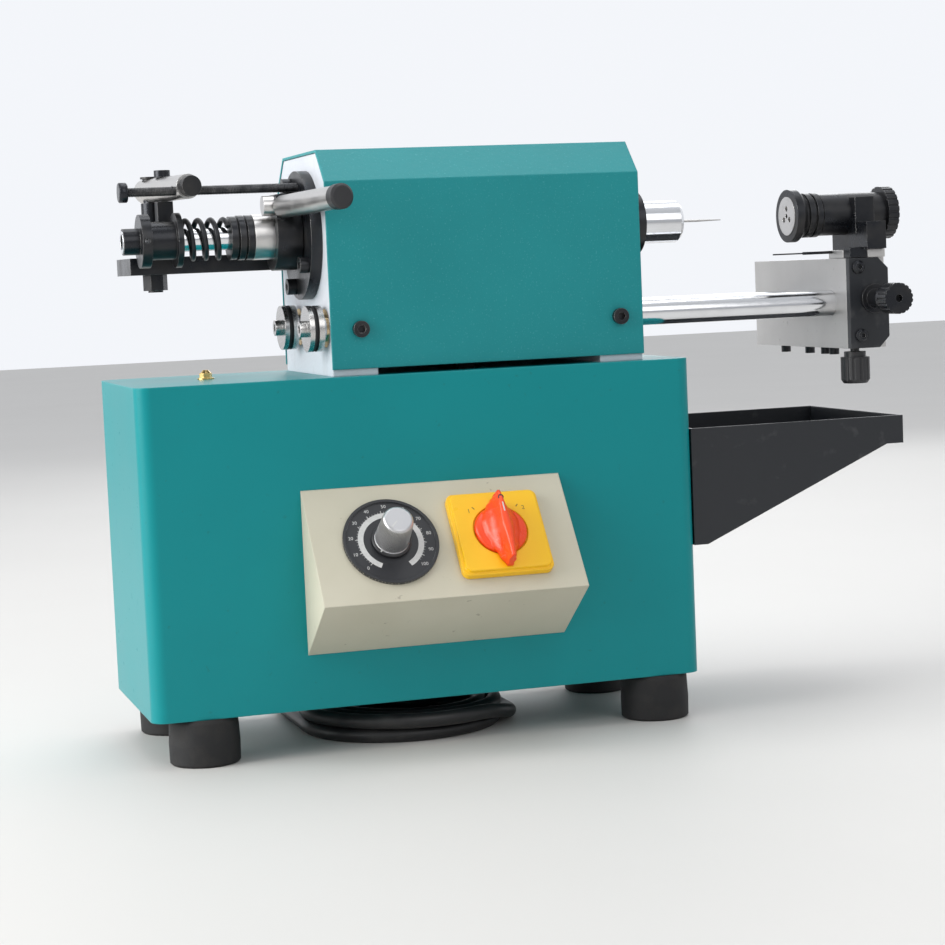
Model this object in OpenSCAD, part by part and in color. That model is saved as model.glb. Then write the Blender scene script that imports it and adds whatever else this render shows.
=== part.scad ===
// Small bench lathe for cutting threads on wire and pins: a sheet-metal cabinet with a
// hollow-spindle headstock, a lever collet closer and a tool carriage on two guide rods.
// Every node is placed so that the part's origin is under its middle, level with the table.

/* [Cabinet] */
// Cabinet width, left to right
cab_w = 300; // [260:1:360]
// Cabinet depth, front to back
cab_d = 125; // [112:1:150]
// Cabinet height without the feet
cab_h = 171; // [150:1:210]
// Outside radius of the cabinet's upright bends
cab_bend = 8; // [4:0.5:12]
// Sheet thickness of the cabinet, the tray and the covers
sheet = 1.5; // [1:0.1:2]
// Height of the rubber feet
foot_h = 24.5; // [18:0.5:35]
// Largest radius of a foot
foot_r = 18.5; // [14:0.5:20]
// Foot centre from the front or back face
foot_in = 15.5; // [14:0.5:22]
// Left foot centre from the left face
foot_left = 28.5; // [20:0.5:40]
// Right foot centre from the right face
foot_right = 22; // [20:0.5:40]

/* [Control panel] */
// Width of the sloped panel box
panel_w = 140; // [125:1:160]
// Left edge of the panel box from the cabinet's left face
panel_x = 82; // [50:1:90]
// Height at which the slope leaves the cabinet
panel_top = 114; // [108:1:124]
// Height of the panel box's nose
panel_nose = 58.6; // [52:0.2:64]
// Height at which the underside meets the cabinet
panel_low = 28.5; // [20:0.5:34]
// How far the nose stands out of the cabinet
panel_out = 42.5; // [38:0.5:50]
// Diameter of the dial plate
dial_d = 50; // [44:1:54]
// Diameter of the speed knob
knob_d = 18; // [14:0.5:22]
// Height of the speed knob
knob_h = 22; // [14:0.5:24]
// Side of the square switch plate
switch_side = 49; // [44:1:52]

/* [Headstock] */
// Length of the headstock cover
head_len = 172; // [160:1:190]
// Left end of the cover from the cabinet's left face
head_x = 104; // [90:1:110]
// Depth of the cover, front to back
head_d = 112; // [104:1:116]
// Front face of the cover from the cabinet's front
head_y = 7; // [5:0.5:9]
// Height of the cover's top above the cabinet
head_h = 117.5; // [112:0.5:130]
// Gap between the cabinet's top and the cover's lower edge
cover_lift = 3.5; // [2:0.5:5]
// Width of the cover's sloped folds
cover_fold = 17; // [12:0.5:20]
// Thickness of the casting's end walls
wall_t = 24; // [20:0.5:28]
// Spindle axis from the cabinet's front
axis_y = 52; // [50:0.5:56]
// Spindle axis above the cabinet's top
axis_up = 74; // [72:0.5:78]
// Radius of the spindle in its bearings
spindle_r = 10; // [9:0.5:11]
// Outside radius of the ball bearings
bearing_r = 21; // [19:0.5:22]
// Width of one ball bearing
bearing_w = 12; // [10:0.5:14]
// Radius of the wire feed tube
tube_r = 6; // [5:0.25:6.5]
// Radius of the hole for the wire
wire_bore_r = 4; // [3:0.25:4]

/* [Closer] */
// Left end of the feed tube from the cabinet's left face
tail_x = 5.3; // [2:0.1:8]
// Radius of the grooved spool
spool_r = 14; // [12:0.25:15]
// Radius of the round cap behind the lever
cap_r = 34; // [32:0.5:36]
// Outside radius of the lever ring
ring_r = 18; // [17:0.1:18.4]
// Length of the lever handle
handle_len = 66; // [55:1:75]
// Radius of the lever handle
handle_r = 6; // [5:0.25:6.5]
// Travel of the closer sleeve
closer_travel = 3; // [2:0.25:3.5]

/* [Carriage] */
// Radius of a guide rod
rod_r = 7; // [6:0.25:8]
// Front guide rod from the cabinet's front
rod_y = 22; // [20:0.5:24]
// Distance between the two guide rods
rod_gap = 60; // [56:1:64]
// Guide rods above the cabinet's top
rod_up = 25; // [23:0.5:28]
// Left face of the tail block from the cabinet's left face
tail_block_x = 394; // [380:1:400]
// Thickness of the tail block
block_t = 23; // [20:0.5:26]
// Depth of the tail block, front to back
block_d = 122; // [110:1:124]
// Height of the tail block
block_h = 49.5; // [44:0.5:52]
// Front of the tail block from the cabinet's front
block_y = 2; // [0:0.5:4]
// Radius of the die head's barrel
barrel_r = 11.5; // [10:0.25:12]
// Radius of the die head's end flanges
flange_r = 14.5; // [13:0.25:16]
// Travel of the carriage
carriage_travel = 45; // [20:1:50]

/* [Chip tray] */
// How far the tray reaches out of the cabinet
tray_out = 127; // [100:1:135]
// Depth of the tray, front to back
tray_d = 118; // [100:1:122]
// Height of the tray's rim above the cabinet's underside
tray_top = 132.5; // [120:0.5:145]
// Height of the tray at the cabinet
tray_drop = 63.5; // [50:0.5:70]
// Height of the tray's outer lip
tray_lip = 15.5; // [12:0.5:20]

/* [Mains cord] */
// Diameter of the mains cord
cord_d = 8; // [7:0.5:8]

/* [Hidden] */
$fn = 48;

// Clearances: running fits, sliding covers and pieces that only lie side by side
run = 0.05;
slip = 0.25;
face = 0.3;

// The whole part's extents, which put its origin under its middle
head_start = tail_block_x - 25;
head_len_all = 55.3;
adjuster_t = 6.3;
right_end = head_start + head_len_all + adjuster_t;
origin_x = right_end / 2;

// Places that several pieces share
head_end = head_x + head_len;
axis_z = cab_h + axis_up;
rod_z = cab_h + rod_up;
rod_back = rod_y + rod_gap;
wall_inset = sheet + slip;
wall_left = head_x + 0.5;
wall_right = head_end - 0.5;
bearing_rear = wall_left + 1.5;
bearing_front = wall_right - 1.5 - bearing_w;
cap_t = 6;
cap_x = wall_left - cap_t;
boss_r = 14;
boss_x = cap_x - 5;
ring_len = 13.5;
ring_x = cap_x - ring_len - 0.5;
sleeve_r = 12;
sleeve_x = ring_x - 10.5;
sleeve_len = 18;
seat_len = 12;
seat_x = sleeve_x - seat_len - 0.3;
spool_hub_r = 6.9;
spool_x = tail_x + 9;
rim_t = 5.2;
groove_len = 13.4;
groove_r = 10;
spool_end = spool_x + rim_t + groove_len + 3;
spring_wire = 1.4;
spring_r = 10;
belt_x = head_x + 80;
pulley_w = 14;
belt_w = 8;
belt_t = 3;
spindle_pulley_r = 20;
motor_pulley_r = 10;
motor_y = axis_y;
motor_z = 58;
motor_r = 36;
motor_x = 52;
motor_len = 112;
tube_end = wall_right - 6;
spindle_start = ring_x + 1.5;
spindle_end = head_end + 32;
nose_x = head_end + 15.4;
nose_len = 24.7;
nose_r = 11.6;
nose_ring_r = 17.3;
collet_len = 26;

// Pattern of the fastenings
m4 = 2;
m5 = 2.5;
thread_gap = 0.1;
back_screw_in = 8;
back_panel_w = cab_w - 2 * cab_bend - 8;
back_panel_h = cab_h - 26;
back_panel_z = 14;

function sq(v) = v * v;

// Rounded rectangle from the corner, in true arcs
module rounded_square(w, d, r) {
    translate([r, 0]) square([w - 2 * r, d]);
    translate([0, r]) square([w, d - 2 * r]);
    for (x = [r, w - r], y = [r, d - r])
        translate([x, y]) circle(r);
}

// Cylinder along +X from x = 0
module xcyl(r, len, r2 = -1) {
    rotate([0, 90, 0]) cylinder(h = len, r1 = r, r2 = r2 < 0 ? r : r2);
}

// Cylinder along -Y from y = 0, towards the front
module ycyl(r, len) {
    rotate([90, 0, 0]) cylinder(h = len, r = r);
}

// Socket-head screw: its head stands on z = 0, its shank goes down
module socket_screw(r, len, head_h = 5, head_r = 4.25) {
    difference() {
        union() {
            cylinder(h = head_h, r = head_r);
            translate([0, 0, -len]) cylinder(h = len + 0.5, r = r);
        }
        translate([0, 0, head_h - 2.5]) cylinder(h = 3, r = r * 0.9, $fn = 6);
    }
}

// Button-head screw: its head stands on z = 0, its shank goes down
module button_screw(r, len, head_r = 3.8) {
    difference() {
        union() {
            cylinder(h = 1.2, r = head_r);
            translate([0, 0, 1.2]) cylinder(h = screw_head_h - 1.2, r1 = head_r, r2 = head_r - 1.2);
            translate([0, 0, -len]) cylinder(h = len + 0.5, r = r);
        }
        translate([0, 0, 0.8]) cylinder(h = 2, r = r * 0.7, $fn = 6);
    }
}

// Places a piece drawn in the cabinet's own frame
module placed() {
    translate([-origin_x, -origin_y, foot_h]) children();
}

// Places a piece on the headstock's spindle axis, +Z of the children along +X
module on_axis(x) {
    translate([x, axis_y, axis_z]) rotate([0, 90, 0]) children();
}

// The slope of the control panel: x along it, y up the slope, z out of it
panel_angle = atan2(panel_top - panel_nose, panel_out);
panel_slope = sqrt(sq(panel_out) + sq(panel_top - panel_nose));
dial_at = [41, panel_slope / 2];
switch_at = [98.5, panel_slope / 2 + 1];
switch_t = 6;
grip_low = 22;
grip_h = 14;
front_end = -(switch_at[1] + grip_low) * cos(panel_angle) - (switch_t - 1 + grip_h) * sin(panel_angle);
screw_head_h = 2.2;
back_end = cab_d + sheet + screw_head_h;
origin_y = (front_end + back_end) / 2;
module on_panel(at) {
    translate([panel_x + at[0], 0, panel_top]) rotate([panel_angle, 0, 0])
        translate([0, -at[1], 0]) children();
}

// Where the case screws go: on the back panel, in the tray and in the panel box's flanges
back_holes = [
    for (x = [cab_w / 2 - back_panel_w / 2 + back_screw_in, cab_w / 2 + back_panel_w / 2 - back_screw_in])
        for (z = [back_panel_z + back_screw_in, back_panel_z + back_panel_h - back_screw_in]) [x, z]
];
tray_y = (cab_d - tray_d) / 2;
tray_holes = [
    for (y = [tray_y + 18, tray_y + tray_d - 18])
        for (z = [tray_top - 14, tray_top - tray_drop + 18]) [y, z]
];
panel_holes = [for (x = [panel_x + 9, panel_x + panel_w - 9]) [x, (panel_top + panel_low) / 2]];
foot_xs = [foot_left, cab_w - foot_right];
foot_ys = [foot_in, cab_d - foot_in];
foot_places = [for (x = foot_xs) for (y = foot_ys) [x, y]];
cover_xs = [head_x + wall_t * 0.65, head_end - wall_t * 0.55];
cover_screw_z = cab_h + 24;
casting_holes = [
    for (x = [wall_left + wall_t / 2, wall_right - wall_t / 2])
        for (y = [head_y + 44, head_y + 102]) [x, y]
];
belt_slot = [belt_x - 10, axis_y - 32, 20, 66];

module cabinet_shell() {
    color([0.04, 0.53, 0.55]) placed() difference() {
        linear_extrude(cab_h) rounded_square(cab_w, cab_d, cab_bend);
        translate([sheet, sheet, -1]) linear_extrude(cab_h - sheet + 1)
            rounded_square(cab_w - 2 * sheet, cab_d - 2 * sheet, cab_bend - sheet);
        // opening behind the back panel
        translate([cab_w / 2 - back_panel_w / 2 + 16, cab_d - 5, back_panel_z + 16])
            cube([back_panel_w - 32, 10, back_panel_h - 32]);
        // opening behind the control panel
        translate([panel_x + 18, -5, panel_low + 12]) cube([panel_w - 36, 10, panel_top - panel_low - 24]);
        translate([belt_slot[0], belt_slot[1], cab_h - 5]) cube([belt_slot[2], belt_slot[3], 10]);
        for (p = back_holes) translate([p[0], cab_d + 1, p[1]]) ycyl(m4 + thread_gap, 8);
        for (p = tray_holes) translate([cab_w - 5, p[0], p[1]]) xcyl(m4 + thread_gap, 10);
        for (p = panel_holes) translate([p[0], 5, p[1]]) ycyl(m4 + thread_gap, 10);
        for (p = casting_holes) translate([p[0], p[1], cab_h - 5]) cylinder(h = 10, r = m5 + thread_gap);
        translate([48, 64, cab_h - 5]) cylinder(h = 10, r = m4 + thread_gap);
    }
}

base_t = 2;
module base_plate() {
    color([0.10, 0.38, 0.40]) placed() difference() {
        translate([sheet + slip, sheet + slip, 0]) linear_extrude(base_t)
            rounded_square(cab_w - 2 * (sheet + slip), cab_d - 2 * (sheet + slip), cab_bend - sheet - slip);
        for (p = foot_places) translate([p[0], p[1], -1]) cylinder(h = 5, r = m5 + thread_gap);
        for (i = [0:5]) translate([205 + i * 8, 45, -1]) cube([3.5, 36, 5]);
    }
}

gland_x = 225;
gland_z = 42;
gland_r = 7;
module back_panel() {
    color([0.05, 0.48, 0.50]) placed() difference() {
        translate([cab_w / 2 - back_panel_w / 2, cab_d, back_panel_z])
            cube([back_panel_w, sheet, back_panel_h]);
        for (p = back_holes) translate([p[0], cab_d + 5, p[1]]) ycyl(m4 + thread_gap, 10);
        translate([gland_x, cab_d + 5, gland_z]) ycyl(gland_r + thread_gap, 10);
        // rows of cooling slots
        for (i = [0:11]) translate([cab_w / 2 - 44 + i * 8, cab_d - 1, 80]) cube([3.5, 5, 42]);
    }
}

foot_hole_r = 6.5;
foot_web = 7;
module rubber_feet() {
    color([0.07, 0.07, 0.075]) placed()
        for (p = foot_places) translate([p[0], p[1], -foot_h]) rotate_extrude() difference() {
            union() {
                square([foot_r - 1.5, foot_h]);
                polygon([
                    [0, 0], [foot_r - 1.2, 0], [foot_r - 0.2, 1], [foot_r, foot_h * 0.45],
                    [foot_r - 0.6, foot_h - 2], [foot_r - 1.5, foot_h], [0, foot_h]
                ]);
            }
            translate([-1, -1]) square([foot_hole_r + 1, foot_h - foot_web + 1]);
            square([m5 + thread_gap, foot_h + 1]);
        }
}

// Side outline of the tray; the inset draws the space inside its sheet
module tray_outline(inset) {
    x0 = cab_w + inset;
    low = tray_top - tray_drop + inset;
    lip = tray_top - tray_lip + inset;
    polygon([
        [x0, tray_top + (inset > 0 ? 5 : 0)], [x0, low], [x0 + 8 - inset * 0.4, low],
        [cab_w + tray_out - 10 - inset * 0.4, lip], [cab_w + tray_out - inset, lip],
        [cab_w + tray_out - inset, tray_top + (inset > 0 ? 5 : 0)]
    ]);
}
module chip_tray() {
    color([0.06, 0.065, 0.075]) placed() difference() {
        translate([0, tray_y + tray_d, 0]) rotate([90, 0, 0]) linear_extrude(tray_d) tray_outline(0);
        translate([0, tray_y + tray_d - sheet, 0]) rotate([90, 0, 0])
            linear_extrude(tray_d - 2 * sheet) tray_outline(sheet);
        for (p = tray_holes) translate([cab_w - 5, p[0], p[1]]) xcyl(m4 + thread_gap, 10);
    }
}

nut_h = 3.2;
module m4_with_nut() {
    button_screw(m4, 2 * sheet + 5);
    translate([0, 0, -2 * sheet - nut_h]) difference() {
        cylinder(h = nut_h, r = 3.9, $fn = 6);
        translate([0, 0, -1]) cylinder(h = nut_h + 2, r = m4 - 0.05);
    }
}
module case_screws() {
    color([0.55, 0.55, 0.56]) placed() {
        for (p = back_holes) translate([p[0], cab_d + sheet, p[1]]) rotate([-90, 0, 0]) m4_with_nut();
        for (p = tray_holes) translate([cab_w + sheet, p[0], p[1]]) rotate([0, 90, 0]) m4_with_nut();
        for (p = panel_holes) translate([p[0], sheet, p[1]]) rotate([-90, 0, 0]) m4_with_nut();
    }
}

module earth_stud() {
    color([0.72, 0.50, 0.22]) placed() translate([48, 64, cab_h]) {
        cylinder(h = 0.8, r = 4.4);
        translate([0, 0, 0.8]) cylinder(h = 2.6, r = 3.4, $fn = 6);
        translate([0, 0, 3.4]) cylinder(h = 1.6, r1 = 2.9, r2 = 1.4);
        translate([0, 0, -9]) cylinder(h = 10, r = m4);
    }
}

// Sloped sheet box on the front: two side sheets, a slope and an underside, with two back flanges
module panel_outline() {
    polygon([[0, panel_top], [-panel_out, panel_nose], [0, panel_low]]);
}
module panel_prism(len) {
    rotate([90, 0, 90]) linear_extrude(len) panel_outline();
}
low_angle = atan2(panel_nose - panel_low, panel_out);
pot_bush_r = 3.5;
switch_neck_r = 6;
module panel_box() {
    color([0.79, 0.77, 0.68]) placed() difference() {
        translate([panel_x, 0, 0]) intersection() {
            panel_prism(panel_w);
            union() {
                panel_prism(sheet);
                translate([panel_w - sheet, 0, 0]) panel_prism(sheet);
                translate([0, 0, panel_top]) rotate([panel_angle, 0, 0])
                    translate([0, -panel_slope - 5, -sheet]) cube([panel_w, panel_slope + 10, sheet + 5]);
                translate([0, 0, panel_low]) rotate([-low_angle, 0, 0])
                    translate([0, -panel_slope, -5]) cube([panel_w, panel_slope + 10, sheet + 5]);
                for (x = [0, panel_w - 18]) translate([x, -sheet, panel_low])
                    cube([18, sheet, panel_top - panel_low]);
            }
        }
        for (p = panel_holes) translate([p[0], 5, p[1]]) ycyl(m4 + thread_gap, 10);
        on_panel(dial_at) translate([0, 0, -5]) cylinder(h = 10, r = pot_bush_r + thread_gap);
        on_panel(switch_at) translate([0, 0, -5]) cylinder(h = 10, r = switch_neck_r + thread_gap);
    }
}

dial_t = 1.2;
module dial_plate() {
    color([0.10, 0.10, 0.11]) placed() on_panel(dial_at) difference() {
        union() {
            cylinder(h = dial_t, r = dial_d / 2 - 1);
            difference() {
                cylinder(h = dial_t + 0.8, r = dial_d / 2);
                translate([0, 0, 0.4]) cylinder(h = 4, r = dial_d / 2 - 1.6);
            }
        }
        translate([0, 0, -1]) cylinder(h = 5, r = pot_bush_r + thread_gap);
    }
}

pot_nut_h = 2;
module speed_pot() {
    color([0.62, 0.62, 0.6]) placed() on_panel(dial_at) {
        translate([0, 0, -sheet - 11]) cylinder(h = 11, r = 12);
        translate([0, 0, -sheet - 1]) cylinder(h = sheet + dial_t + pot_nut_h + 1.5, r = pot_bush_r);
        translate([0, 0, dial_t]) cylinder(h = pot_nut_h, r = 5.5, $fn = 6);
        cylinder(h = dial_t + pot_nut_h + 11, r = 3);
        for (x = [-4, 0, 4]) translate([x - 0.6, -16, -sheet - 9]) cube([1.2, 6, 0.8]);
    }
}

module speed_knob() {
    color([0.66, 0.67, 0.69]) placed() on_panel(dial_at) translate([0, 0, dial_t + 0.5]) difference() {
        union() {
            cylinder(h = 2, r = knob_d / 2);
            translate([0, 0, 2]) cylinder(h = knob_h - 3, r1 = knob_d / 2 - 0.5, r2 = knob_d / 2 - 1.2);
            translate([0, 0, knob_h - 1]) cylinder(h = 1, r1 = knob_d / 2 - 1.2, r2 = knob_d / 2 - 2);
        }
        for (a = [0:20:359]) rotate([0, 0, a]) translate([knob_d / 2 - 0.2, 0, 2.4])
            cylinder(h = knob_h, r = 0.75, $fn = 16);
        translate([0, 0, -1]) cylinder(h = 4.2, r = 6.6);
        translate([0, 0, 1]) cylinder(h = knob_h - 3, r = 3 + run);
    }
}

handle_base_r = 14;
module switch_plate() {
    s = switch_side;
    color([0.98, 0.76, 0.04]) placed() on_panel(switch_at) difference() {
        union() {
            translate([-s / 2, -s / 2, 0]) linear_extrude(switch_t - 2) rounded_square(s, s, 4);
            translate([-s / 2 + 1.5, -s / 2 + 1.5, 0]) linear_extrude(switch_t)
                rounded_square(s - 3, s - 3, 3.5);
        }
        translate([0, 0, -1]) cylinder(h = 12, r = switch_neck_r + thread_gap);
        translate([0, 0, switch_t - 1.2]) cylinder(h = 3, r = handle_base_r + 0.5);
    }
}

module switch_body() {
    color([0.16, 0.16, 0.17]) placed() on_panel(switch_at) {
        translate([-21, -17, -sheet - 32]) cube([42, 34, 32 - face]);
        translate([0, 0, -sheet - 2]) cylinder(h = sheet + switch_t - 1.2, r = switch_neck_r);
        translate([0, 0, -1]) cylinder(h = switch_t + 6, r = 2.4);
    }
}

module switch_handle() {
    color([0.95, 0.27, 0.07]) placed() on_panel(switch_at) translate([0, 0, switch_t - 1]) difference() {
        union() {
            cylinder(h = 3, r1 = handle_base_r, r2 = handle_base_r - 1.5);
            // the pointed grip across the disc
            translate([0, 0, 1 + face]) linear_extrude(grip_h - 1 - face) polygon([
                [0, 17], [4, 13], [6, 5], [6, -4], [5, -13], [2.5, -grip_low], [-2.5, -grip_low],
                [-5, -13], [-6, -4], [-6, 5], [-4, 13]
            ]);
        }
        translate([0, 0, -1]) cylinder(h = 9, r = 2.4 + run);
        translate([0, 11, grip_h - 3]) cylinder(h = 5, r = 1.6);
    }
}

// Outline of the cover across its length; the inset draws what lies inside it
module roof_outline(inset, low) {
    c = cover_fold - inset * (2 - sqrt(2));
    y0 = head_y + inset;
    y1 = head_y + head_d - inset;
    top = cab_h + head_h - inset;
    polygon([[y0, low], [y0, top - c], [y0 + c, top], [y1 - c, top], [y1, top - c], [y1, low]]);
}
module roof_prism(x, len, inset, low) {
    translate([x, 0, 0]) rotate([90, 0, 90]) linear_extrude(len) roof_outline(inset, low);
}

bush_r = 10;
cover_screw_len = rod_y - bush_r - head_y - 1;
plate_y = axis_y + spool_r + 3;
plate_w = 47;
plate_t = 9;
plate_z = axis_z - 17.4;
plate_x = 11.8;
plate_screws = [for (y = [plate_y + 23, plate_y + 38]) [y, plate_z + plate_t / 2]];
tie_z = axis_z + 25.3;
tie_y = axis_y - 6;
module headstock_casting() {
    color([0.80, 0.81, 0.82]) placed() difference() {
        union() {
            roof_prism(wall_left, wall_t, wall_inset, cab_h);
            roof_prism(wall_right - wall_t, wall_t, wall_inset, cab_h);
            // back rail and upper web that join the two end walls
            translate([wall_left + 1, head_y + head_d - wall_inset - 22, cab_h])
                cube([wall_right - wall_left - 2, 20, 14]);
            translate([wall_left + 1, axis_y + 32, axis_z + 10]) cube([wall_right - wall_left - 2, 26, 10]);
        }
        // seats of the two bearings and the hole between them
        on_axis(wall_left - 1) cylinder(h = 1 + 1.5 + bearing_w, r = bearing_r + run);
        on_axis(wall_right - 1.5 - bearing_w) cylinder(h = 20, r = bearing_r + run);
        on_axis(wall_left - 1) cylinder(h = head_len + 5, r = spindle_r + 5);
        for (y = [rod_y, rod_back]) {
            translate([wall_left - 1, y, rod_z]) xcyl(bush_r + run, wall_t + 2);
            translate([wall_right - wall_t - 1, y, rod_z]) xcyl(bush_r + run, wall_t + 2);
        }
        for (p = casting_holes) translate([p[0], p[1], cab_h - 1]) cylinder(h = 16, r = m5 + thread_gap);
        for (x = cover_xs) {
            translate([x, head_y + cover_screw_len + 0.2, cover_screw_z]) ycyl(m5 + thread_gap, 10);
            translate([x, head_y + head_d + 1, cover_screw_z]) ycyl(m5 + thread_gap, 15);
        }
        // holes of the bracket plate's screws, the tie rod and the cap's screws
        for (p = plate_screws) translate([wall_left - 1, p[0], p[1]]) xcyl(m5 + thread_gap, wall_t + 2);
        translate([wall_left - 1, tie_y, tie_z]) xcyl(m5 + thread_gap, 12);
        for (a = cap_screw_angles) on_axis(wall_left - 1) rotate([0, 0, a]) translate([cap_screw_r, 0, 0])
            cylinder(h = 12, r = m5 + thread_gap);
    }
}

module headstock_cover() {
    color([0.14, 0.56, 0.57]) placed() difference() {
        roof_prism(head_x, head_len, 0, cab_h + cover_lift);
        roof_prism(head_x - 1, head_len + 2, sheet, cab_h + cover_lift - 1);
        for (x = cover_xs) translate([x, head_y + head_d + 5, cover_screw_z])
            ycyl(m5 + thread_gap, head_d + 10);
    }
}

// Four of five places round the cap: the fifth would be under the lever
cap_screw_angles = [16, 88, 160, 304];
cap_screw_r = cap_r - 6;
module headstock_screws() {
    color([0.13, 0.13, 0.14]) placed() {
        for (x = cover_xs) {
            translate([x, head_y, cover_screw_z]) rotate([90, 0, 0])
                socket_screw(m5, cover_screw_len, 3, 4.3);
            translate([x, head_y + head_d, cover_screw_z]) rotate([-90, 0, 0]) socket_screw(m5, 12, 3, 4.3);
        }
        for (p = plate_screws) translate([wall_left + wall_t, p[0], p[1]]) rotate([0, 90, 0])
            socket_screw(m5, wall_t + 12);
        // bolts up through the cabinet's top, and the screws of the feet with their nuts
        for (p = casting_holes) translate([p[0], p[1], cab_h - sheet]) rotate([180, 0, 0])
            socket_screw(m5, 14);
        for (p = foot_places) translate([p[0], p[1], -foot_web]) rotate([180, 0, 0]) {
            socket_screw(m5, foot_web + base_t + 6, 4);
            translate([0, 0, -foot_web - base_t - 4]) difference() {
                cylinder(h = 4, r = 4.5, $fn = 6);
                translate([0, 0, -1]) cylinder(h = 6, r = m5 - 0.05);
            }
        }
        for (a = cap_screw_angles) on_axis(cap_x) rotate([0, 0, a]) translate([cap_screw_r, 0, 0])
            rotate([180, 0, 0]) socket_screw(m5, 14);
    }
}

module ring(r_out, r_in, len) {
    difference() {
        cylinder(h = len, r = r_out);
        translate([0, 0, -1]) cylinder(h = len + 2, r = r_in);
    }
}
module xring(r_out, r_in, len) {
    rotate([0, 90, 0]) ring(r_out, r_in, len);
}

module rod_bushes() {
    color([0.74, 0.58, 0.30]) placed()
        for (x = [wall_left, wall_right - wall_t], y = [rod_y, rod_back])
            translate([x, y, rod_z]) xring(bush_r, rod_r + run, wall_t);
}

module bearings() {
    color([0.72, 0.73, 0.74]) placed()
        for (x = [bearing_rear, bearing_front]) on_axis(x) difference() {
            ring(bearing_r, spindle_r + run, bearing_w);
            translate([0, 0, -1]) ring(bearing_r - 3.5, spindle_r + 3, 1.6);
            translate([0, 0, bearing_w - 0.6]) ring(bearing_r - 3.5, spindle_r + 3, 2);
        }
}

module rear_cap() {
    color([0.10, 0.10, 0.11]) placed() difference() {
        union() {
            on_axis(cap_x) cylinder(h = cap_t, r = cap_r);
            on_axis(boss_x) cylinder(h = cap_x - boss_x + 1, r = boss_r);
        }
        on_axis(boss_x - 1) cylinder(h = 20, r = spindle_r + 0.6);
        for (a = cap_screw_angles) on_axis(cap_x - 1) rotate([0, 0, a]) translate([cap_screw_r, 0, 0])
            cylinder(h = cap_t + 2, r = m5 + thread_gap);
        translate([cap_x - 1, tie_y, tie_z]) xcyl(m5 + thread_gap, cap_t + 2);
        // slot that clears the bracket plate
        translate([cap_x - 1, plate_y - slip, plate_z - slip]) cube([cap_t + 2, plate_w, plate_t + 2 * slip]);
    }
}

module spindle() {
    color([0.72, 0.73, 0.75]) placed() difference() {
        union() {
            on_axis(spindle_start) cylinder(h = spindle_end - spindle_start, r = spindle_r);
            on_axis(bearing_rear + bearing_w + 0.3) cylinder(h = 6, r = spindle_r + 2.5);
        }
        on_axis(spindle_start - 1) cylinder(h = tube_end - spindle_start + 1, r = tube_r + run);
        on_axis(tube_end - 1) cylinder(h = 20, r = wire_bore_r);
        on_axis(spindle_end - collet_len + 4) cylinder(h = collet_len, r = collet_r + run);
    }
}

collet_r = 7;
module nose_ring() {
    color([0.11, 0.11, 0.12]) placed() on_axis(head_end + 1) difference() {
        cylinder(h = nose_x - head_end - 1.3, r = nose_ring_r);
        translate([0, 0, -1]) cylinder(h = 40, r = spindle_r + run);
    }
}

module spindle_nose() {
    color([0.84, 0.85, 0.86]) placed() on_axis(nose_x) difference() {
        union() {
            cylinder(h = nose_len - 2, r = nose_r);
            translate([0, 0, nose_len - 2]) cylinder(h = 2, r1 = nose_r, r2 = nose_r - 2);
        }
        translate([0, 0, -1]) cylinder(h = spindle_end - nose_x + 1.3, r = spindle_r + run);
        translate([0, 0, 5]) cylinder(h = nose_len, r = 5.5);
    }
}

module collet() {
    color([0.66, 0.67, 0.69]) placed() on_axis(spindle_end - collet_len + 4.2) difference() {
        union() {
            cylinder(h = collet_len - 4.4, r = collet_r);
            cylinder(h = collet_len + 0.6, r = 5.3);
        }
        translate([0, 0, -1]) cylinder(h = 40, r = needle_r + run);
        for (a = [0, 120, 240]) rotate([0, 0, a]) translate([1.2, -0.4, 8]) cube([9, 0.8, 30]);
    }
}

needle_r = 0.7;
module collet_needle() {
    color([0.7, 0.7, 0.72]) placed() {
        on_axis(spindle_end - collet_len + 6) cylinder(h = collet_len + 14, r = needle_r);
        on_axis(spindle_end + 20) cylinder(h = 14, r1 = needle_r, r2 = 0.3);
    }
}

// Grooved pulley with its groove for a flat belt
module pulley(r, bore) {
    difference() {
        union() {
            cylinder(h = pulley_w, r = r);
            cylinder(h = 2.5, r = r + 3.5);
            translate([0, 0, pulley_w - 2.5]) cylinder(h = 2.5, r = r + 3.5);
        }
        translate([0, 0, -1]) cylinder(h = pulley_w + 2, r = bore);
    }
}
module spindle_pulley() {
    color([0.68, 0.69, 0.70]) placed() on_axis(belt_x - pulley_w / 2)
        pulley(spindle_pulley_r, spindle_r + run);
}

// The belt's loop round both pulleys, drawn across the spindle
module belt_loop(extra) {
    hull() {
        translate([-axis_z, axis_y]) circle(spindle_pulley_r + extra, $fn = 64);
        translate([-motor_z, motor_y]) circle(motor_pulley_r + extra, $fn = 64);
    }
}
module drive_belt() {
    color([0.08, 0.08, 0.08]) placed() translate([belt_x - belt_w / 2, 0, 0]) rotate([0, 90, 0])
        linear_extrude(belt_w) difference() {
            belt_loop(face + belt_t);
            belt_loop(face);
        }
}

shaft_r = 4;
module motor_rotor() {
    color([0.60, 0.60, 0.62]) placed() translate([0, motor_y, motor_z]) rotate([0, 90, 0]) {
        translate([0, 0, motor_x - 8]) cylinder(h = belt_x + 10 - motor_x + 8, r = shaft_r);
        translate([0, 0, motor_x + 14]) cylinder(h = motor_len - 28, r = 22);
        translate([0, 0, belt_x - pulley_w / 2]) {
            cylinder(h = pulley_w, r = motor_pulley_r);
            cylinder(h = 2.5, r = motor_pulley_r + 3.5);
            translate([0, 0, pulley_w - 2.5]) cylinder(h = 2.5, r = motor_pulley_r + 3.5);
        }
    }
}

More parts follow.
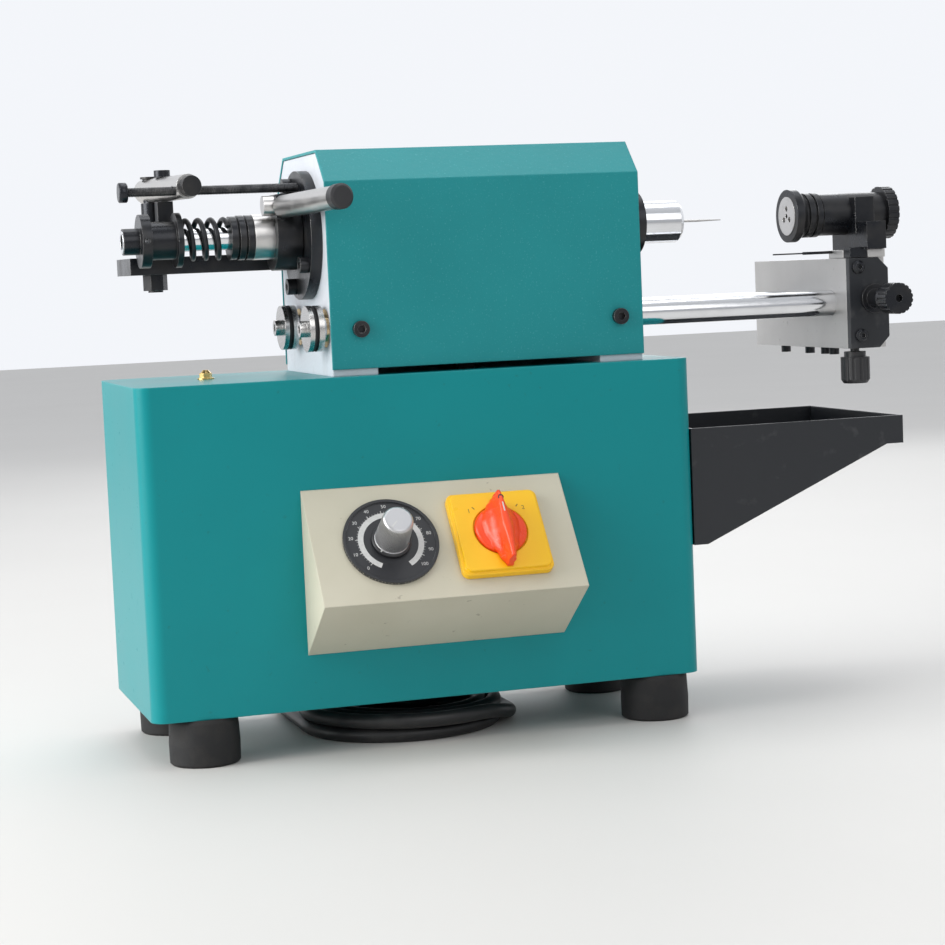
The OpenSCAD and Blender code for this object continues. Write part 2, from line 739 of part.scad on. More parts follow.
module motor_case() {
    color([0.35, 0.36, 0.38]) placed() difference() {
        union() {
            translate([motor_x, motor_y, motor_z]) xcyl(motor_r, motor_len);
            // foot that stands on the base plate
            translate([motor_x + 16, motor_y - 30, base_t]) cube([motor_len - 32, 60, motor_z - base_t - 20]);
        }
        translate([motor_x + 10, motor_y, motor_z]) xcyl(24, motor_len - 20);
        translate([motor_x - 1, motor_y, motor_z]) xcyl(shaft_r + run, motor_len + 2);
        translate([motor_x + 20, motor_y - 24, base_t - 1]) cube([motor_len - 40, 48, 14]);
    }
}

module control_board() {
    color([0.10, 0.35, 0.18]) placed() translate([212, 22, base_t]) {
        for (x = [5, 55], y = [5, 65]) translate([x, y, 0]) cylinder(h = 8, r = 3);
        translate([0, 0, 8]) cube([60, 70, 1.6]);
        translate([6, 8, 9.6]) cube([14, 52, 26]);
        for (y = [14, 34, 54]) translate([34, y, 9.6]) cylinder(h = 18, r = 6);
        translate([44, 8, 9.6]) cube([12, 52, 10]);
    }
}

module feed_tube() {
    color([0.80, 0.81, 0.83]) placed() on_axis(tail_x) ring(tube_r, wire_bore_r, tube_end - tail_x - 1.2);
}

set_screw_r = 1.5;
module spool() {
    color([0.12, 0.12, 0.13]) placed() difference() {
        union() {
            on_axis(tail_x + 0.4) cylinder(h = 10, r = spool_hub_r);
            on_axis(spool_x) cylinder(h = rim_t, r = spool_r);
            on_axis(spool_x) cylinder(h = spool_end - spool_x, r = groove_r);
            on_axis(spool_end - 3) cylinder(h = 3, r = spool_r + 0.3);
        }
        on_axis(tail_x - 1) cylinder(h = 60, r = tube_r + run);
        translate([spool_x + rim_t / 2, axis_y, axis_z]) ycyl(set_screw_r, 20);
    }
}

// Sweeps a round section along a list of points
function unit(v) = v / norm(v);
function along(p, i) = unit(p[min(i + 1, len(p) - 1)] - p[max(i - 1, 0)]);
function sideways(t) = unit(cross(t, abs(t[2]) < 0.9 ? [0, 0, 1] : [1, 0, 0]));
module tube_along(p, r, sides) {
    n = len(p);
    rings = [
        for (i = [0:n - 1])
            let (t = along(p, i), u = sideways(t), v = cross(u, t))
                for (k = [0:sides - 1]) p[i] + r * cos(k * 360 / sides) * u + r * sin(k * 360 / sides) * v
    ];
    walls = [
        for (i = [0:n - 2]) for (k = [0:sides - 1])
            let (a = i * sides + k, b = i * sides + (k + 1) % sides) [a, b, b + sides, a + sides]
    ];
    polyhedron(rings, concat(
        [[for (k = [sides - 1:-1:0]) k]], walls, [[for (k = [0:sides - 1]) (n - 1) * sides + k]]
    ), convexity = 10);
}

spring_turns = 3.4;
spring_start = spool_end + spring_wire + 0.1;
spring_len = seat_x - spool_end - 2 * spring_wire - 0.2;
module closing_spring() {
    steps = round(spring_turns * 20);
    color([0.16, 0.16, 0.17]) placed() translate([0, axis_y, axis_z]) tube_along([
        for (i = [0:steps])
            let (a = i * 360 * spring_turns / steps)
                [spring_start + spring_len * i / steps, spring_r * cos(a), spring_r * sin(a)]
    ], spring_wire, 8);
}

module spring_seat() {
    color([0.14, 0.14, 0.15]) placed() on_axis(seat_x) difference() {
        union() {
            cylinder(h = 3.4, r = sleeve_r - 0.6);
            translate([0, 0, 3.4]) cylinder(h = 1, r = sleeve_r - 2.5);
            translate([0, 0, 4.4]) cylinder(h = 3.2, r = sleeve_r - 0.2);
            translate([0, 0, 7.6]) cylinder(h = 1, r = sleeve_r - 2.5);
            translate([0, 0, 8.6]) cylinder(h = seat_len - 8.6, r = sleeve_r - 0.2);
        }
        translate([0, 0, -1]) cylinder(h = 40, r = tube_r + run);
    }
}

pin_r = 1.5;
module closer_sleeve() {
    color([0.83, 0.82, 0.80]) placed() difference() {
        union() {
            on_axis(sleeve_x) cylinder(h = sleeve_len, r = sleeve_r - run);
            translate([ring_x + 5, axis_y, axis_z]) ycyl(pin_r, sleeve_r + 3);
            translate([ring_x + 5, axis_y + sleeve_r + 3, axis_z]) ycyl(pin_r, sleeve_r + 3);
        }
        on_axis(sleeve_x - 1) cylinder(h = 7, r = tube_r + 0.4);
        on_axis(sleeve_x + 5) cylinder(h = 20, r = spindle_r + 0.4);
    }
}

// The lever's direction: mostly to the front, a little to the right and upwards
lever_turn = 13.5;
lever_tilt = 2;
lever_at = [ring_x + 3, axis_y - 12, axis_z + 15];
module along_lever() {
    translate(lever_at) rotate([-lever_tilt, 0, lever_turn]) rotate([90, 0, 0]) children();
}
module lever_ring() {
    color([0.11, 0.11, 0.12]) placed() difference() {
        union() {
            on_axis(ring_x) cylinder(h = ring_len, r = ring_r);
            intersection() {
                along_lever() translate([0, 0, -12]) cylinder(h = 16, r = handle_r + 1);
                translate([ring_x, axis_y - 40, axis_z]) cube([ring_len, 60, 40]);
            }
        }
        on_axis(ring_x - 5) cylinder(h = ring_len + 10, r = sleeve_r);
        on_axis(boss_x - face) cylinder(h = 20, r = boss_r + run);
        // slots that the sleeve's two pins follow
        for (a = [0, 180]) for (k = [0:4:32])
            on_axis(ring_x + 5 - closer_travel * k / 28) rotate([0, 0, a + 90 - k]) rotate([0, 90, 0])
                cylinder(h = sleeve_r + 3.6, r = pin_r + 0.5, $fn = 16);
        along_lever() translate([0, 0, -8]) cylinder(h = 20, r = 3 + run);
    }
}

module lever_handle() {
    color([0.74, 0.75, 0.76]) placed() {
        along_lever() {
            translate([0, 0, 4.3]) cylinder(h = handle_len - 4.3, r = handle_r);
            translate([0, 0, -7]) cylinder(h = 12, r = 3);
        }
        // boss on the ring's left face
        translate([ring_x - 6, axis_y - 10, axis_z + 16]) xcyl(5.2, 6);
    }
}

module handle_cap() {
    color([0.10, 0.10, 0.11]) placed() along_lever() translate([0, 0, handle_len]) {
        cylinder(h = 5, r = handle_r + 0.5);
        translate([0, 0, 5]) cylinder(h = 1, r1 = handle_r + 0.5, r2 = handle_r - 0.8);
    }
}

post_x = spool_x + rim_t + groove_len / 2 + 2.2;
post_y = plate_y + 23;
module bracket_plate() {
    color([0.12, 0.12, 0.13]) placed() difference() {
        translate([plate_x, plate_y, plate_z]) cube([wall_left - plate_x, plate_w, plate_t]);
        translate([post_x, post_y, plate_z - 1]) cylinder(h = plate_t + 2, r = post_r + run);
        for (p = plate_screws) translate([wall_left - 12.5, p[0], p[1]]) xcyl(m5 + thread_gap, 14);
    }
}

// Cross arm: a turned bar clamped on the post, that carries the fork and holds the tie rod
post_r = 4;
arm_r = 6.5;
arm_len = 52;
arm_turn = 12.7;
arm_z = tie_z + 2.2;
fork_out = 17.4;
fork_screw_r = 2.5;
module along_arm() {
    translate([post_x, post_y, arm_z]) rotate([0, 0, arm_turn]) rotate([90, 0, 0]) children();
}
// Point on the arm's axis at a distance from the post
function arm_at(d) = [post_x + d * sin(arm_turn), post_y - d * cos(arm_turn)];
module cross_arm() {
    color([0.76, 0.77, 0.78]) placed() difference() {
        along_arm() translate([0, 0, -7.5]) cylinder(h = arm_len + 7.5, r = arm_r);
        translate([post_x, post_y, arm_z - 20]) cylinder(h = 40, r = post_r + run);
        translate([arm_at(fork_out)[0], arm_at(fork_out)[1], arm_z - 20])
            cylinder(h = 40, r = fork_screw_r + run);
        translate([0, tie_y, tie_z]) xcyl(m5 + run, 80);
    }
}

// Fork: hangs from the arm, and its shoe reaches into the spool's groove from behind
fork_w = 8.4;
shoe_w = 9;
shoe_x = spool_x + rim_t + groove_len / 2 - shoe_w / 2;
module fork() {
    f = arm_at(fork_out);
    top = arm_z - arm_r;
    color([0.11, 0.11, 0.12]) placed() difference() {
        union() {
            translate([f[0] - fork_w / 2, axis_y + spool_r + 4, axis_z - 4])
                cube([fork_w, 9, top - axis_z + 4]);
            translate([shoe_x, axis_y + groove_r + 0.4, axis_z - 4])
                cube([shoe_w, spool_r - groove_r + 12, 10]);
        }
        translate([f[0], f[1], top - 14]) cylinder(h = 20, r = fork_screw_r + thread_gap);
    }
}

// Post of the arm with its nut under the plate, the fork's screw and the screw that pinches the tie rod
module pivot_bolt() {
    f = arm_at(fork_out);
    color([0.13, 0.13, 0.14]) placed() {
        translate([post_x, post_y, 0]) {
            translate([0, 0, plate_z - 9.5]) cylinder(h = arm_z + arm_r + 1 - plate_z + 9.5, r = post_r);
            translate([0, 0, plate_z - 8.5]) cylinder(h = 8.5, r = 6.6, $fn = 6);
            translate([0, 0, plate_z + plate_t]) cylinder(h = arm_z - arm_r - plate_z - plate_t, r = 5.5);
            translate([0, 0, arm_z + arm_r]) cylinder(h = 1, r = 5.2);
        }
        translate([f[0], f[1], arm_z + arm_r]) socket_screw(fork_screw_r, 2 * arm_r + 12, 3.6, 4.3);
        along_arm() translate([0, 0, arm_len]) cylinder(h = 5, r = 5.4);
    }
}

module tie_rod() {
    color([0.12, 0.12, 0.13]) placed() {
        translate([4.2, tie_y, tie_z]) xcyl(m5, wall_left + 10 - 4.2);
        translate([4, tie_y, tie_z]) xcyl(5.2, 4.6);
    }
}

rod_start = head_x - 2;
module guide_rods() {
    color([0.84, 0.85, 0.87]) placed()
        for (y = [rod_y, rod_back]) translate([rod_start, y, rod_z]) difference() {
            xcyl(rod_r, tail_block_x + block_t - rod_start);
            translate([-1, 0, 0]) xcyl(m5, 16);
        }
}

// End stops of the guide rods: a steel disc, a rubber ring, a washer and a screw
stop_r = 12;
module rod_stops() {
    color([0.30, 0.31, 0.32]) placed()
        for (y = [rod_y, rod_back]) translate([rod_start, y, rod_z]) {
            translate([-8, 0, 0]) xring(stop_r, m5 + 0.1, 3.4);
            translate([-4.6, 0, 0]) xring(stop_r - 0.8, m5 + 0.1, 1.2);
            translate([-3.4, 0, 0]) xring(stop_r, m5 + 0.1, 3.2);
            translate([-8, 0, 0]) rotate([0, -90, 0]) socket_screw(m5 - 0.1, 18, 3.5);
        }
}

slot_z = cab_h + block_h;
module tail_block() {
    color([0.76, 0.75, 0.74]) placed() difference() {
        translate([tail_block_x, block_y, cab_h]) cube([block_t, block_d, block_h]);
        for (y = [rod_y, rod_back]) translate([tail_block_x - 1, y, rod_z]) xcyl(rod_r + run, block_t + 2);
        // groove and screw hole of the cross slide
        translate([tail_block_x + block_t / 2 - 4, block_y - 1, slot_z - 7]) cube([8, 92, 8]);
        for (y = tail_screw_ys) translate([tail_block_x + 11, y, cab_h - 1])
            cylinder(h = 9, r = m4 + thread_gap);
        for (p = plate_holes) translate([p[0], block_y + 4.3, p[1]]) ycyl(m4 + thread_gap, 8);
        translate([tail_block_x + lock_dx, lock_y, cab_h - 1]) cylinder(h = 12, r = m5 + run);
        translate([tail_block_x + knob_dx, rod_y - 5, clamp_z]) ycyl(m5 + run, 20);
    }
}

tail_screw_ys = [42, 53, 74, 107];
plate_holes = [[tail_block_x + 5.5, cab_h + block_h - 5], [tail_block_x + 6.5, cab_h + 7]];
lock_dx = 7.5;
lock_y = block_y + 7;
knob_dx = 14.6;
clamp_z = rod_z + 2;
clamp_hub_r = 5.3;
tail_plate_t = 4;
module tail_plate() {
    c = 6;
    x1 = block_t + 0.5;
    color([0.12, 0.12, 0.13]) placed() difference() {
        translate([tail_block_x, block_y, cab_h]) rotate([90, 0, 0]) linear_extrude(tail_plate_t) polygon([
            [0, 0], [x1 - c, 0], [x1, c], [x1, block_h - c], [x1 - c, block_h], [0, block_h]
        ]);
        for (p = plate_holes) translate([p[0], block_y + 1, p[1]]) ycyl(m4 + thread_gap, 10);
        translate([tail_block_x + knob_dx, block_y + 1, clamp_z]) ycyl(clamp_hub_r + run, 10);
    }
}

module tail_screws() {
    color([0.13, 0.13, 0.14]) placed() {
        for (y = tail_screw_ys) translate([tail_block_x + 11, y, cab_h - 4.5]) difference() {
            union() {
                cylinder(h = 4.5, r = 2.8);
                cylinder(h = 12, r = m4);
            }
            translate([0, 0, -1]) cylinder(h = 3, r = 1.2, $fn = 6);
        }
        for (p = plate_holes) translate([p[0], block_y - tail_plate_t, p[1]]) rotate([90, 0, 0])
            button_screw(m4, 8, 3.6);
    }
}

// Knob whose screw clamps the front guide rod in the block
module clamp_knob() {
    screw_end = rod_y - rod_r - 0.2 - block_y;
    color([0.13, 0.13, 0.14]) placed() translate([tail_block_x + knob_dx, block_y, clamp_z]) difference() {
        union() {
            translate([0, screw_end, 0]) ycyl(m5, screw_end + 5);
            translate([0, -0.4, 0]) ycyl(clamp_hub_r, 22);
            translate([0, -tail_plate_t - 0.3, 0]) ycyl(8, 1.6);
            translate([0, -22, 0]) ycyl(8.4, 11.5);
        }
        translate([0, -30, 0]) ycyl(2, 5);
        for (a = [0:20:359]) translate([0, -24, 0]) rotate([0, a, 0]) translate([8.6, 0, 0])
            ycyl(0.7, 11, $fn = 16);
    }
}

module lock_knob() {
    color([0.12, 0.13, 0.14]) placed() translate([tail_block_x + lock_dx, lock_y, cab_h]) difference() {
        union() {
            translate([0, 0, -2.5]) cylinder(h = 12, r = m5);
            translate([0, 0, -19.5]) cylinder(h = 2, r1 = 6.5, r2 = 8);
            translate([0, 0, -17.5]) cylinder(h = 12.5, r = 8);
            translate([0, 0, -5]) cylinder(h = 3, r = 6);
        }
        for (a = [0:30:359]) rotate([0, 0, a]) translate([8.7, 0, -20]) cylinder(h = 14.5, r = 1.3, $fn = 16);
    }
}

slide_y = block_y - tail_plate_t;
slide_d = 26;
slide_t = 4.6;
slide_x = tail_block_x + 0.5;
slide_w = 21.5;
foot_notch = [11, 8];
module cross_slide() {
    color([0.78, 0.79, 0.80]) placed() {
        difference() {
            translate([slide_x, slide_y, slot_z + run]) cube([slide_w, slide_d, slide_t]);
            translate([slide_x - 1, slide_y - 1, slot_z - 1])
                cube([foot_notch[0] + 1, foot_notch[1] + 1, 10]);
        }
        translate([tail_block_x + block_t / 2 - 4 + run, block_y + 6, slot_z - 6.5])
            cube([8 - 2 * run, 16, 7]);
    }
}

// Block that the die head's barrel is clamped in
holder_x = tail_block_x + 9.4;
holder_t = 11.5;
holder_y = slide_y - 4;
holder_z = slot_z + run + slide_t;
die_y = rod_y;
module die_holder() {
    color([0.13, 0.14, 0.15]) placed() difference() {
        union() {
            translate([holder_x, holder_y, holder_z]) cube([holder_t, 43, 9]);
            translate([holder_x, holder_y, holder_z]) cube([holder_t, 12, 15]);
            translate([holder_x, die_y - 14.5, holder_z + 8]) cube([holder_t, 29, axis_z + 9 - holder_z - 8]);
            // foot in the slide's notch
            translate([slide_x + face, slide_y, slot_z + face])
                cube([foot_notch[0] - 2 * face, foot_notch[1] - face, slide_t + 1]);
        }
        translate([holder_x - 1, die_y, axis_z]) xcyl(barrel_r + run, holder_t + 3);
    }
}

module die_head() {
    color([0.12, 0.12, 0.13]) placed() translate([head_start, die_y, axis_z]) difference() {
        union() {
            xcyl(flange_r, 4.4);
            translate([4.4, 0, 0]) xcyl(flange_r, 2.6, barrel_r + 0.8);
            xcyl(barrel_r - 0.6, 18);
            for (x = [9, 13.5]) translate([x, 0, 0]) xcyl(barrel_r + 0.7, 3.2);
            translate([17.5, 0, 0]) xcyl(barrel_r, head_len_all - 17.5);
        }
        translate([-1, 0, 0]) xcyl(die_face_r + run, 5);
        translate([3, 0, 0]) xcyl(3, 60);
    }
}

die_face_r = 10.6;
chaser_r = 1.5;
module die_face() {
    color([0.80, 0.81, 0.82]) placed() translate([head_start - 0.3, die_y, axis_z]) difference() {
        xcyl(die_face_r, 4.2);
        translate([-1, 0, 0]) xcyl(1.2, 8);
        for (a = [90, 210, 330]) rotate([a, 0, 0]) translate([-1, 4, 0]) xcyl(chaser_r, 3);
    }
}

module adjusting_ring() {
    color([0.13, 0.13, 0.14]) placed() translate([head_start + head_len_all, die_y, axis_z]) difference() {
        union() {
            xcyl(flange_r, adjuster_t);
            translate([-20, 0, 0]) xcyl(3 - run, 22);
        }
        translate([-22, 0, 0]) xcyl(1.2, 30);
        for (a = [0:15:359]) rotate([a, 0, 0]) translate([-1, flange_r + 0.2, 0])
            xcyl(0.8, adjuster_t + 2, $fn = 16);
    }
}

module side_needle() {
    color([0.20, 0.20, 0.21]) placed() translate([slide_x, block_y + 18, slot_z + run + slide_t - 1]) {
        translate([-17.5, 0, 0]) xcyl(0.8, 17.5);
        translate([-35.5, 0, 0]) xcyl(0.4, 18);
    }
}

// Mains cord: where it leaves the gland, its way to the coil, and on to the plug
relief_end = 28;
gland_y = cab_d + sheet;
cord_exit = [gland_x, gland_y + relief_end + face, gland_z];
lay_z = -foot_h + cord_d / 2;
to_coil = [
    cord_exit, [225, 166, 41], [222, 182, 36], [214, 198, 25], [200, 210, 10], [182, 217, -6],
    [162, 219, -17], [140, 215, lay_z], [120, 204, lay_z],
    [105, 187, lay_z], [97, 166, lay_z], [94, 143, lay_z],
    [94, 118, lay_z], [94, 90, lay_z]
];
from_coil = [
    [206, 90, lay_z], [206, 106, lay_z], [206, 122, lay_z], [209, 138, lay_z], [218, 152, lay_z],
    [232, 161, lay_z + 4], [252, 164, lay_z + 8]
];
// Smooth curve through the points, as a chain of short steps
function bend(a, b, c, d, t) = 0.5 * (2 * b + (c - a) * t + (2 * a - 5 * b + 4 * c - d) * t * t
    + (3 * b - a - 3 * c + d) * t * t * t);
function on_table(p) = [p[0], p[1], max(p[2], lay_z)];
function smooth(p, n) = concat([
    for (i = [0:len(p) - 2]) for (k = [0:n - 1])
        on_table(bend(p[max(i - 1, 0)], p[i], p[i + 1], p[min(i + 2, len(p) - 1)], k / n))
], [p[len(p) - 1]]);

module cord_gland() {
    color([0.09, 0.09, 0.09]) placed() translate([gland_x, gland_y, gland_z]) rotate([-90, 0, 0]) {
        translate([0, 0, -8]) cylinder(h = 9, r = gland_r);
        translate([0, 0, -sheet - 4]) cylinder(h = 4, r = 10, $fn = 6);
        cylinder(h = 5, r = 10);
        translate([0, 0, 5]) cylinder(h = relief_end - 5, r1 = 7.5, r2 = cord_d / 2 + 0.8);
    }
}

module power_cord() {
    color([0.05, 0.05, 0.05]) placed() {
        tube_along(smooth(to_coil, 2), cord_d / 2, 8);
        tube_along(smooth(from_coil, 2), cord_d / 2, 8);
    }
}

coil_at = [150, 62];
coil_r = 48;
module cord_coil() {
    color([0.06, 0.06, 0.06]) placed() translate([coil_at[0], coil_at[1], -foot_h]) rotate_extrude()
        translate([coil_r - 1.5 * cord_d, 0]) square([3 * cord_d, 2 * cord_d]);
}

plug_z = -foot_h + 12;
// Plug with three round pins, lying on its flat side
module mains_plug() {
    color([0.07, 0.07, 0.07]) placed() translate([252, 164, plug_z]) {
        xcyl(5.4, 14, 9);
        translate([14, 0, 0]) intersection() {
            xcyl(18, 20);
            translate([-1, -18, -12]) cube([22, 36, 22]);
        }
        for (y = [-9.5, 9.5]) translate([33, y, -4]) xcyl(2.5, 17);
        translate([33, 0, 4]) xcyl(3.5, 21);
    }
}

cabinet_shell();
base_plate();
back_panel();
rubber_feet();
chip_tray();
case_screws();
earth_stud();
panel_box();
dial_plate();
speed_pot();
speed_knob();
switch_plate();
switch_body();
switch_handle();
headstock_casting();
headstock_cover();
headstock_screws();
rod_bushes();
bearings();
rear_cap();
spindle();
nose_ring();
spindle_nose();
collet();
collet_needle();
spindle_pulley();
drive_belt();
motor_rotor();
motor_case();
control_board();
feed_tube();
spool();
closing_spring();
spring_seat();
closer_sleeve();
lever_ring();
lever_handle();
handle_cap();
bracket_plate();
fork();
pivot_bolt();
cross_arm();
tie_rod();
guide_rods();
rod_stops();
tail_block();
tail_plate();
tail_screws();
clamp_knob();
lock_knob();
cross_slide();
die_holder();
die_head();
die_face();
adjusting_ring();
side_needle();
cord_gland();
power_cord();
cord_coil();
mains_plug();
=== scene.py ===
import math

import bmesh
import bpy
from mathutils import Matrix, Vector


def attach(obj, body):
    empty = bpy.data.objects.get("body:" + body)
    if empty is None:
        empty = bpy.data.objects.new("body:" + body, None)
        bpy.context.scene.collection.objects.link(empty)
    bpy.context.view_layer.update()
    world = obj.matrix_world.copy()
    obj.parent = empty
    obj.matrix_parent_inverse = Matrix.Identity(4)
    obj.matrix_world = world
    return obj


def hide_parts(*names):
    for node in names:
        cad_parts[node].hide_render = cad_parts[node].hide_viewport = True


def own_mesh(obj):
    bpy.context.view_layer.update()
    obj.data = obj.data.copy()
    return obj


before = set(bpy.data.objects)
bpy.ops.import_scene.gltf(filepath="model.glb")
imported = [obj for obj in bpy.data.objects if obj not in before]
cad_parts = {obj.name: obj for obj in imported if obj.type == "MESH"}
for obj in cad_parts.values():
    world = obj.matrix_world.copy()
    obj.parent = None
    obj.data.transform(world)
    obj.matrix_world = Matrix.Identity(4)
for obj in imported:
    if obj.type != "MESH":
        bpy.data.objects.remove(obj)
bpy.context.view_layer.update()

# ---- Camera --------------------------------------------------------------
# A long lens at the height of the headstock, a little to the left of the
# control panel, so that the panel, the spindle and the carriage all show.
def placed(name, data):
    """An object at the origin, in the scene, that holds a mesh, a lamp or a camera."""
    made = bpy.data.objects.new(name, data)
    bpy.context.collection.objects.link(made)
    return made


camera_data = bpy.data.cameras.new("camera")
camera_data.lens = 89.14
camera_data.sensor_width = 36
camera_data.clip_start = 0.05
camera = placed("camera", camera_data)
yaw, pitch, roll = 0.2941, 0.0872, -0.0429
ahead = Vector((math.sin(yaw) * math.cos(pitch), math.cos(yaw) * math.cos(pitch), -math.sin(pitch)))
level = Vector((math.cos(yaw), -math.sin(yaw), 0))
upright = level.cross(ahead)
right = math.cos(roll) * level + math.sin(roll) * upright
above = math.cos(roll) * upright - math.sin(roll) * level
turned = Matrix((right, above, -ahead)).transposed().to_4x4()
camera.matrix_world = Matrix.Translation((-0.3949, -1.2088, 0.2486)) @ turned
bpy.context.scene.camera = camera

# ---- Mains cord ----------------------------------------------------------
# Round black PVC cord of 8 mm. It leaves the gland on the back panel, drops to
# the table, runs forward under the cabinet and lies there in a flat coil of
# four and a half turns in two layers, and ends in its plug behind the machine.
MIDDLE_X, MIDDLE_Y, TABLE = 215.3, 39.188, -24.5


def at(x, y, z):
    """A place measured in millimetres from the cabinet's lower left front corner."""
    return Vector(((x - MIDDLE_X) / 1000, (y - MIDDLE_Y) / 1000, (z - TABLE) / 1000))


CORD = 8
LAY = TABLE + CORD / 2
COIL_X, COIL_Y, COIL_RADIUS = 150, 62, 56
cord_to_coil = [
    (225, 154.8, 42), (225, 166, 41), (222, 182, 36), (214, 198, 25), (200, 210, 10), (182, 217, -6),
    (162, 219, -17), (140, 215, LAY), (120, 204, LAY), (105, 187, LAY), (97, 166, LAY),
    (94, 143, LAY), (94, 118, LAY), (94, 90, LAY),
]
cord_to_plug = [
    (206, 90, LAY), (206, 106, LAY), (206, 122, LAY), (209, 138, LAY), (218, 152, LAY),
    (232, 161, LAY + 4), (252, 164, LAY + 8),
]


def eased(value, start, end):
    """0 before start, 1 after end, and a smooth step between them."""
    t = min(1, max(0, (value - start) / (end - start)))
    return t * t * (3 - 2 * t)


def coil_point(turn):
    """A point of the coil, at an angle that counts up from 180 to 1800 degrees.

    The first layer winds inwards, and the second, one cord higher, winds outwards.
    """
    r = COIL_RADIUS - CORD * eased(turn, 180, 300) - CORD * eased(turn, 540, 660)
    r += CORD * eased(turn, 1080, 1200) + CORD * eased(turn, 1440, 1560)
    z = LAY + CORD * eased(turn, 780, 900) - CORD * eased(turn, 1735, 1800)
    a = math.radians(turn)
    return (COIL_X + r * math.cos(a), COIL_Y + r * math.sin(a), z)


def smooth_line(points, steps):
    """Catmull-Rom points through the given ones, never below the table."""
    line = []
    for i in range(len(points) - 1):
        a, b, c, d = (Vector(points[min(max(k, 0), len(points) - 1)]) for k in (i - 1, i, i + 1, i + 2))
        for k in range(steps):
            t = k / steps
            p = 2 * b + (c - a) * t + (2 * a - 5 * b + 4 * c - d) * t * t + (3 * b - a - 3 * c + d) * t ** 3
            p = 0.5 * p
            line.append((p.x, p.y, max(p.z, LAY)))
    return line + [points[-1]]


coil_turns = [coil_point(a) for a in range(180, 1801, 6)]
cord_line = smooth_line(cord_to_coil + coil_turns[:1], 5) + coil_turns[1:-1]
cord_line += smooth_line(coil_turns[-1:] + cord_to_plug, 5)
cord_line = [at(*p) for p in cord_line]
cord_length = sum((b - a).length for a, b in zip(cord_line, cord_line[1:]))


def skin(shape, rows, smooth=False, ends=True):
    """Joins rows of points, each of which goes round, and closes the first and the last."""
    for one, two in zip(rows, rows[1:]):
        for k in range(len(one)):
            j = (k + 1) % len(one)
            shape.faces.new((one[k], one[j], two[j], two[k])).smooth = smooth
    if ends:
        shape.faces.new(rows[0])
        shape.faces.new(rows[-1])


def tube(line, radius, sides):
    """A round tube along a line of points, with flat ends, its rings never twisting."""
    shape = bmesh.new()
    rows = []
    side = None
    for i, place in enumerate(line):
        way = (line[min(i + 1, len(line) - 1)] - line[max(i - 1, 0)]).normalized()
        side = side or (Vector((0, 0, 1)) if abs(way.z) < 0.9 else Vector((1, 0, 0)))
        side = (side - way * side.dot(way)).normalized()
        other = way.cross(side)
        rows.append([
            shape.verts.new(place + radius * (math.cos(a) * side + math.sin(a) * other))
            for a in (2 * math.pi * k / sides for k in range(sides))])
    skin(shape, rows, smooth=True)
    bmesh.ops.recalc_face_normals(shape, faces=shape.faces)
    return shape


def mesh_of(name, shape):
    """The mesh of a drawn shape, which is let go."""
    mesh = bpy.data.meshes.new(name)
    shape.to_mesh(mesh)
    shape.free()
    return mesh


mains_cord = placed("mains_cord", mesh_of("mains_cord", tube(cord_line, CORD / 2000, 20)))
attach(mains_cord, "base")
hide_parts("power_cord", "cord_coil")
at(225, 154.8, 42)


class Wire:
    """A socket of a finish, on which plain sums and products add Math nodes."""

    def __init__(self, finish, socket):
        self.finish, self.socket = finish, socket

    def maths(self, kind, a, b):
        return self.finish.node("ShaderNodeMath", {"operation": kind}, {0: a, 1: b})

    def __add__(self, other):
        return self.maths("ADD", self, other)

    def __sub__(self, other):
        return self.maths("SUBTRACT", self, other)

    def __rsub__(self, other):
        return self.maths("SUBTRACT", other, self)

    def __mul__(self, other):
        return self.maths("MULTIPLY", self, other)

    __radd__ = __add__
    __rmul__ = __mul__


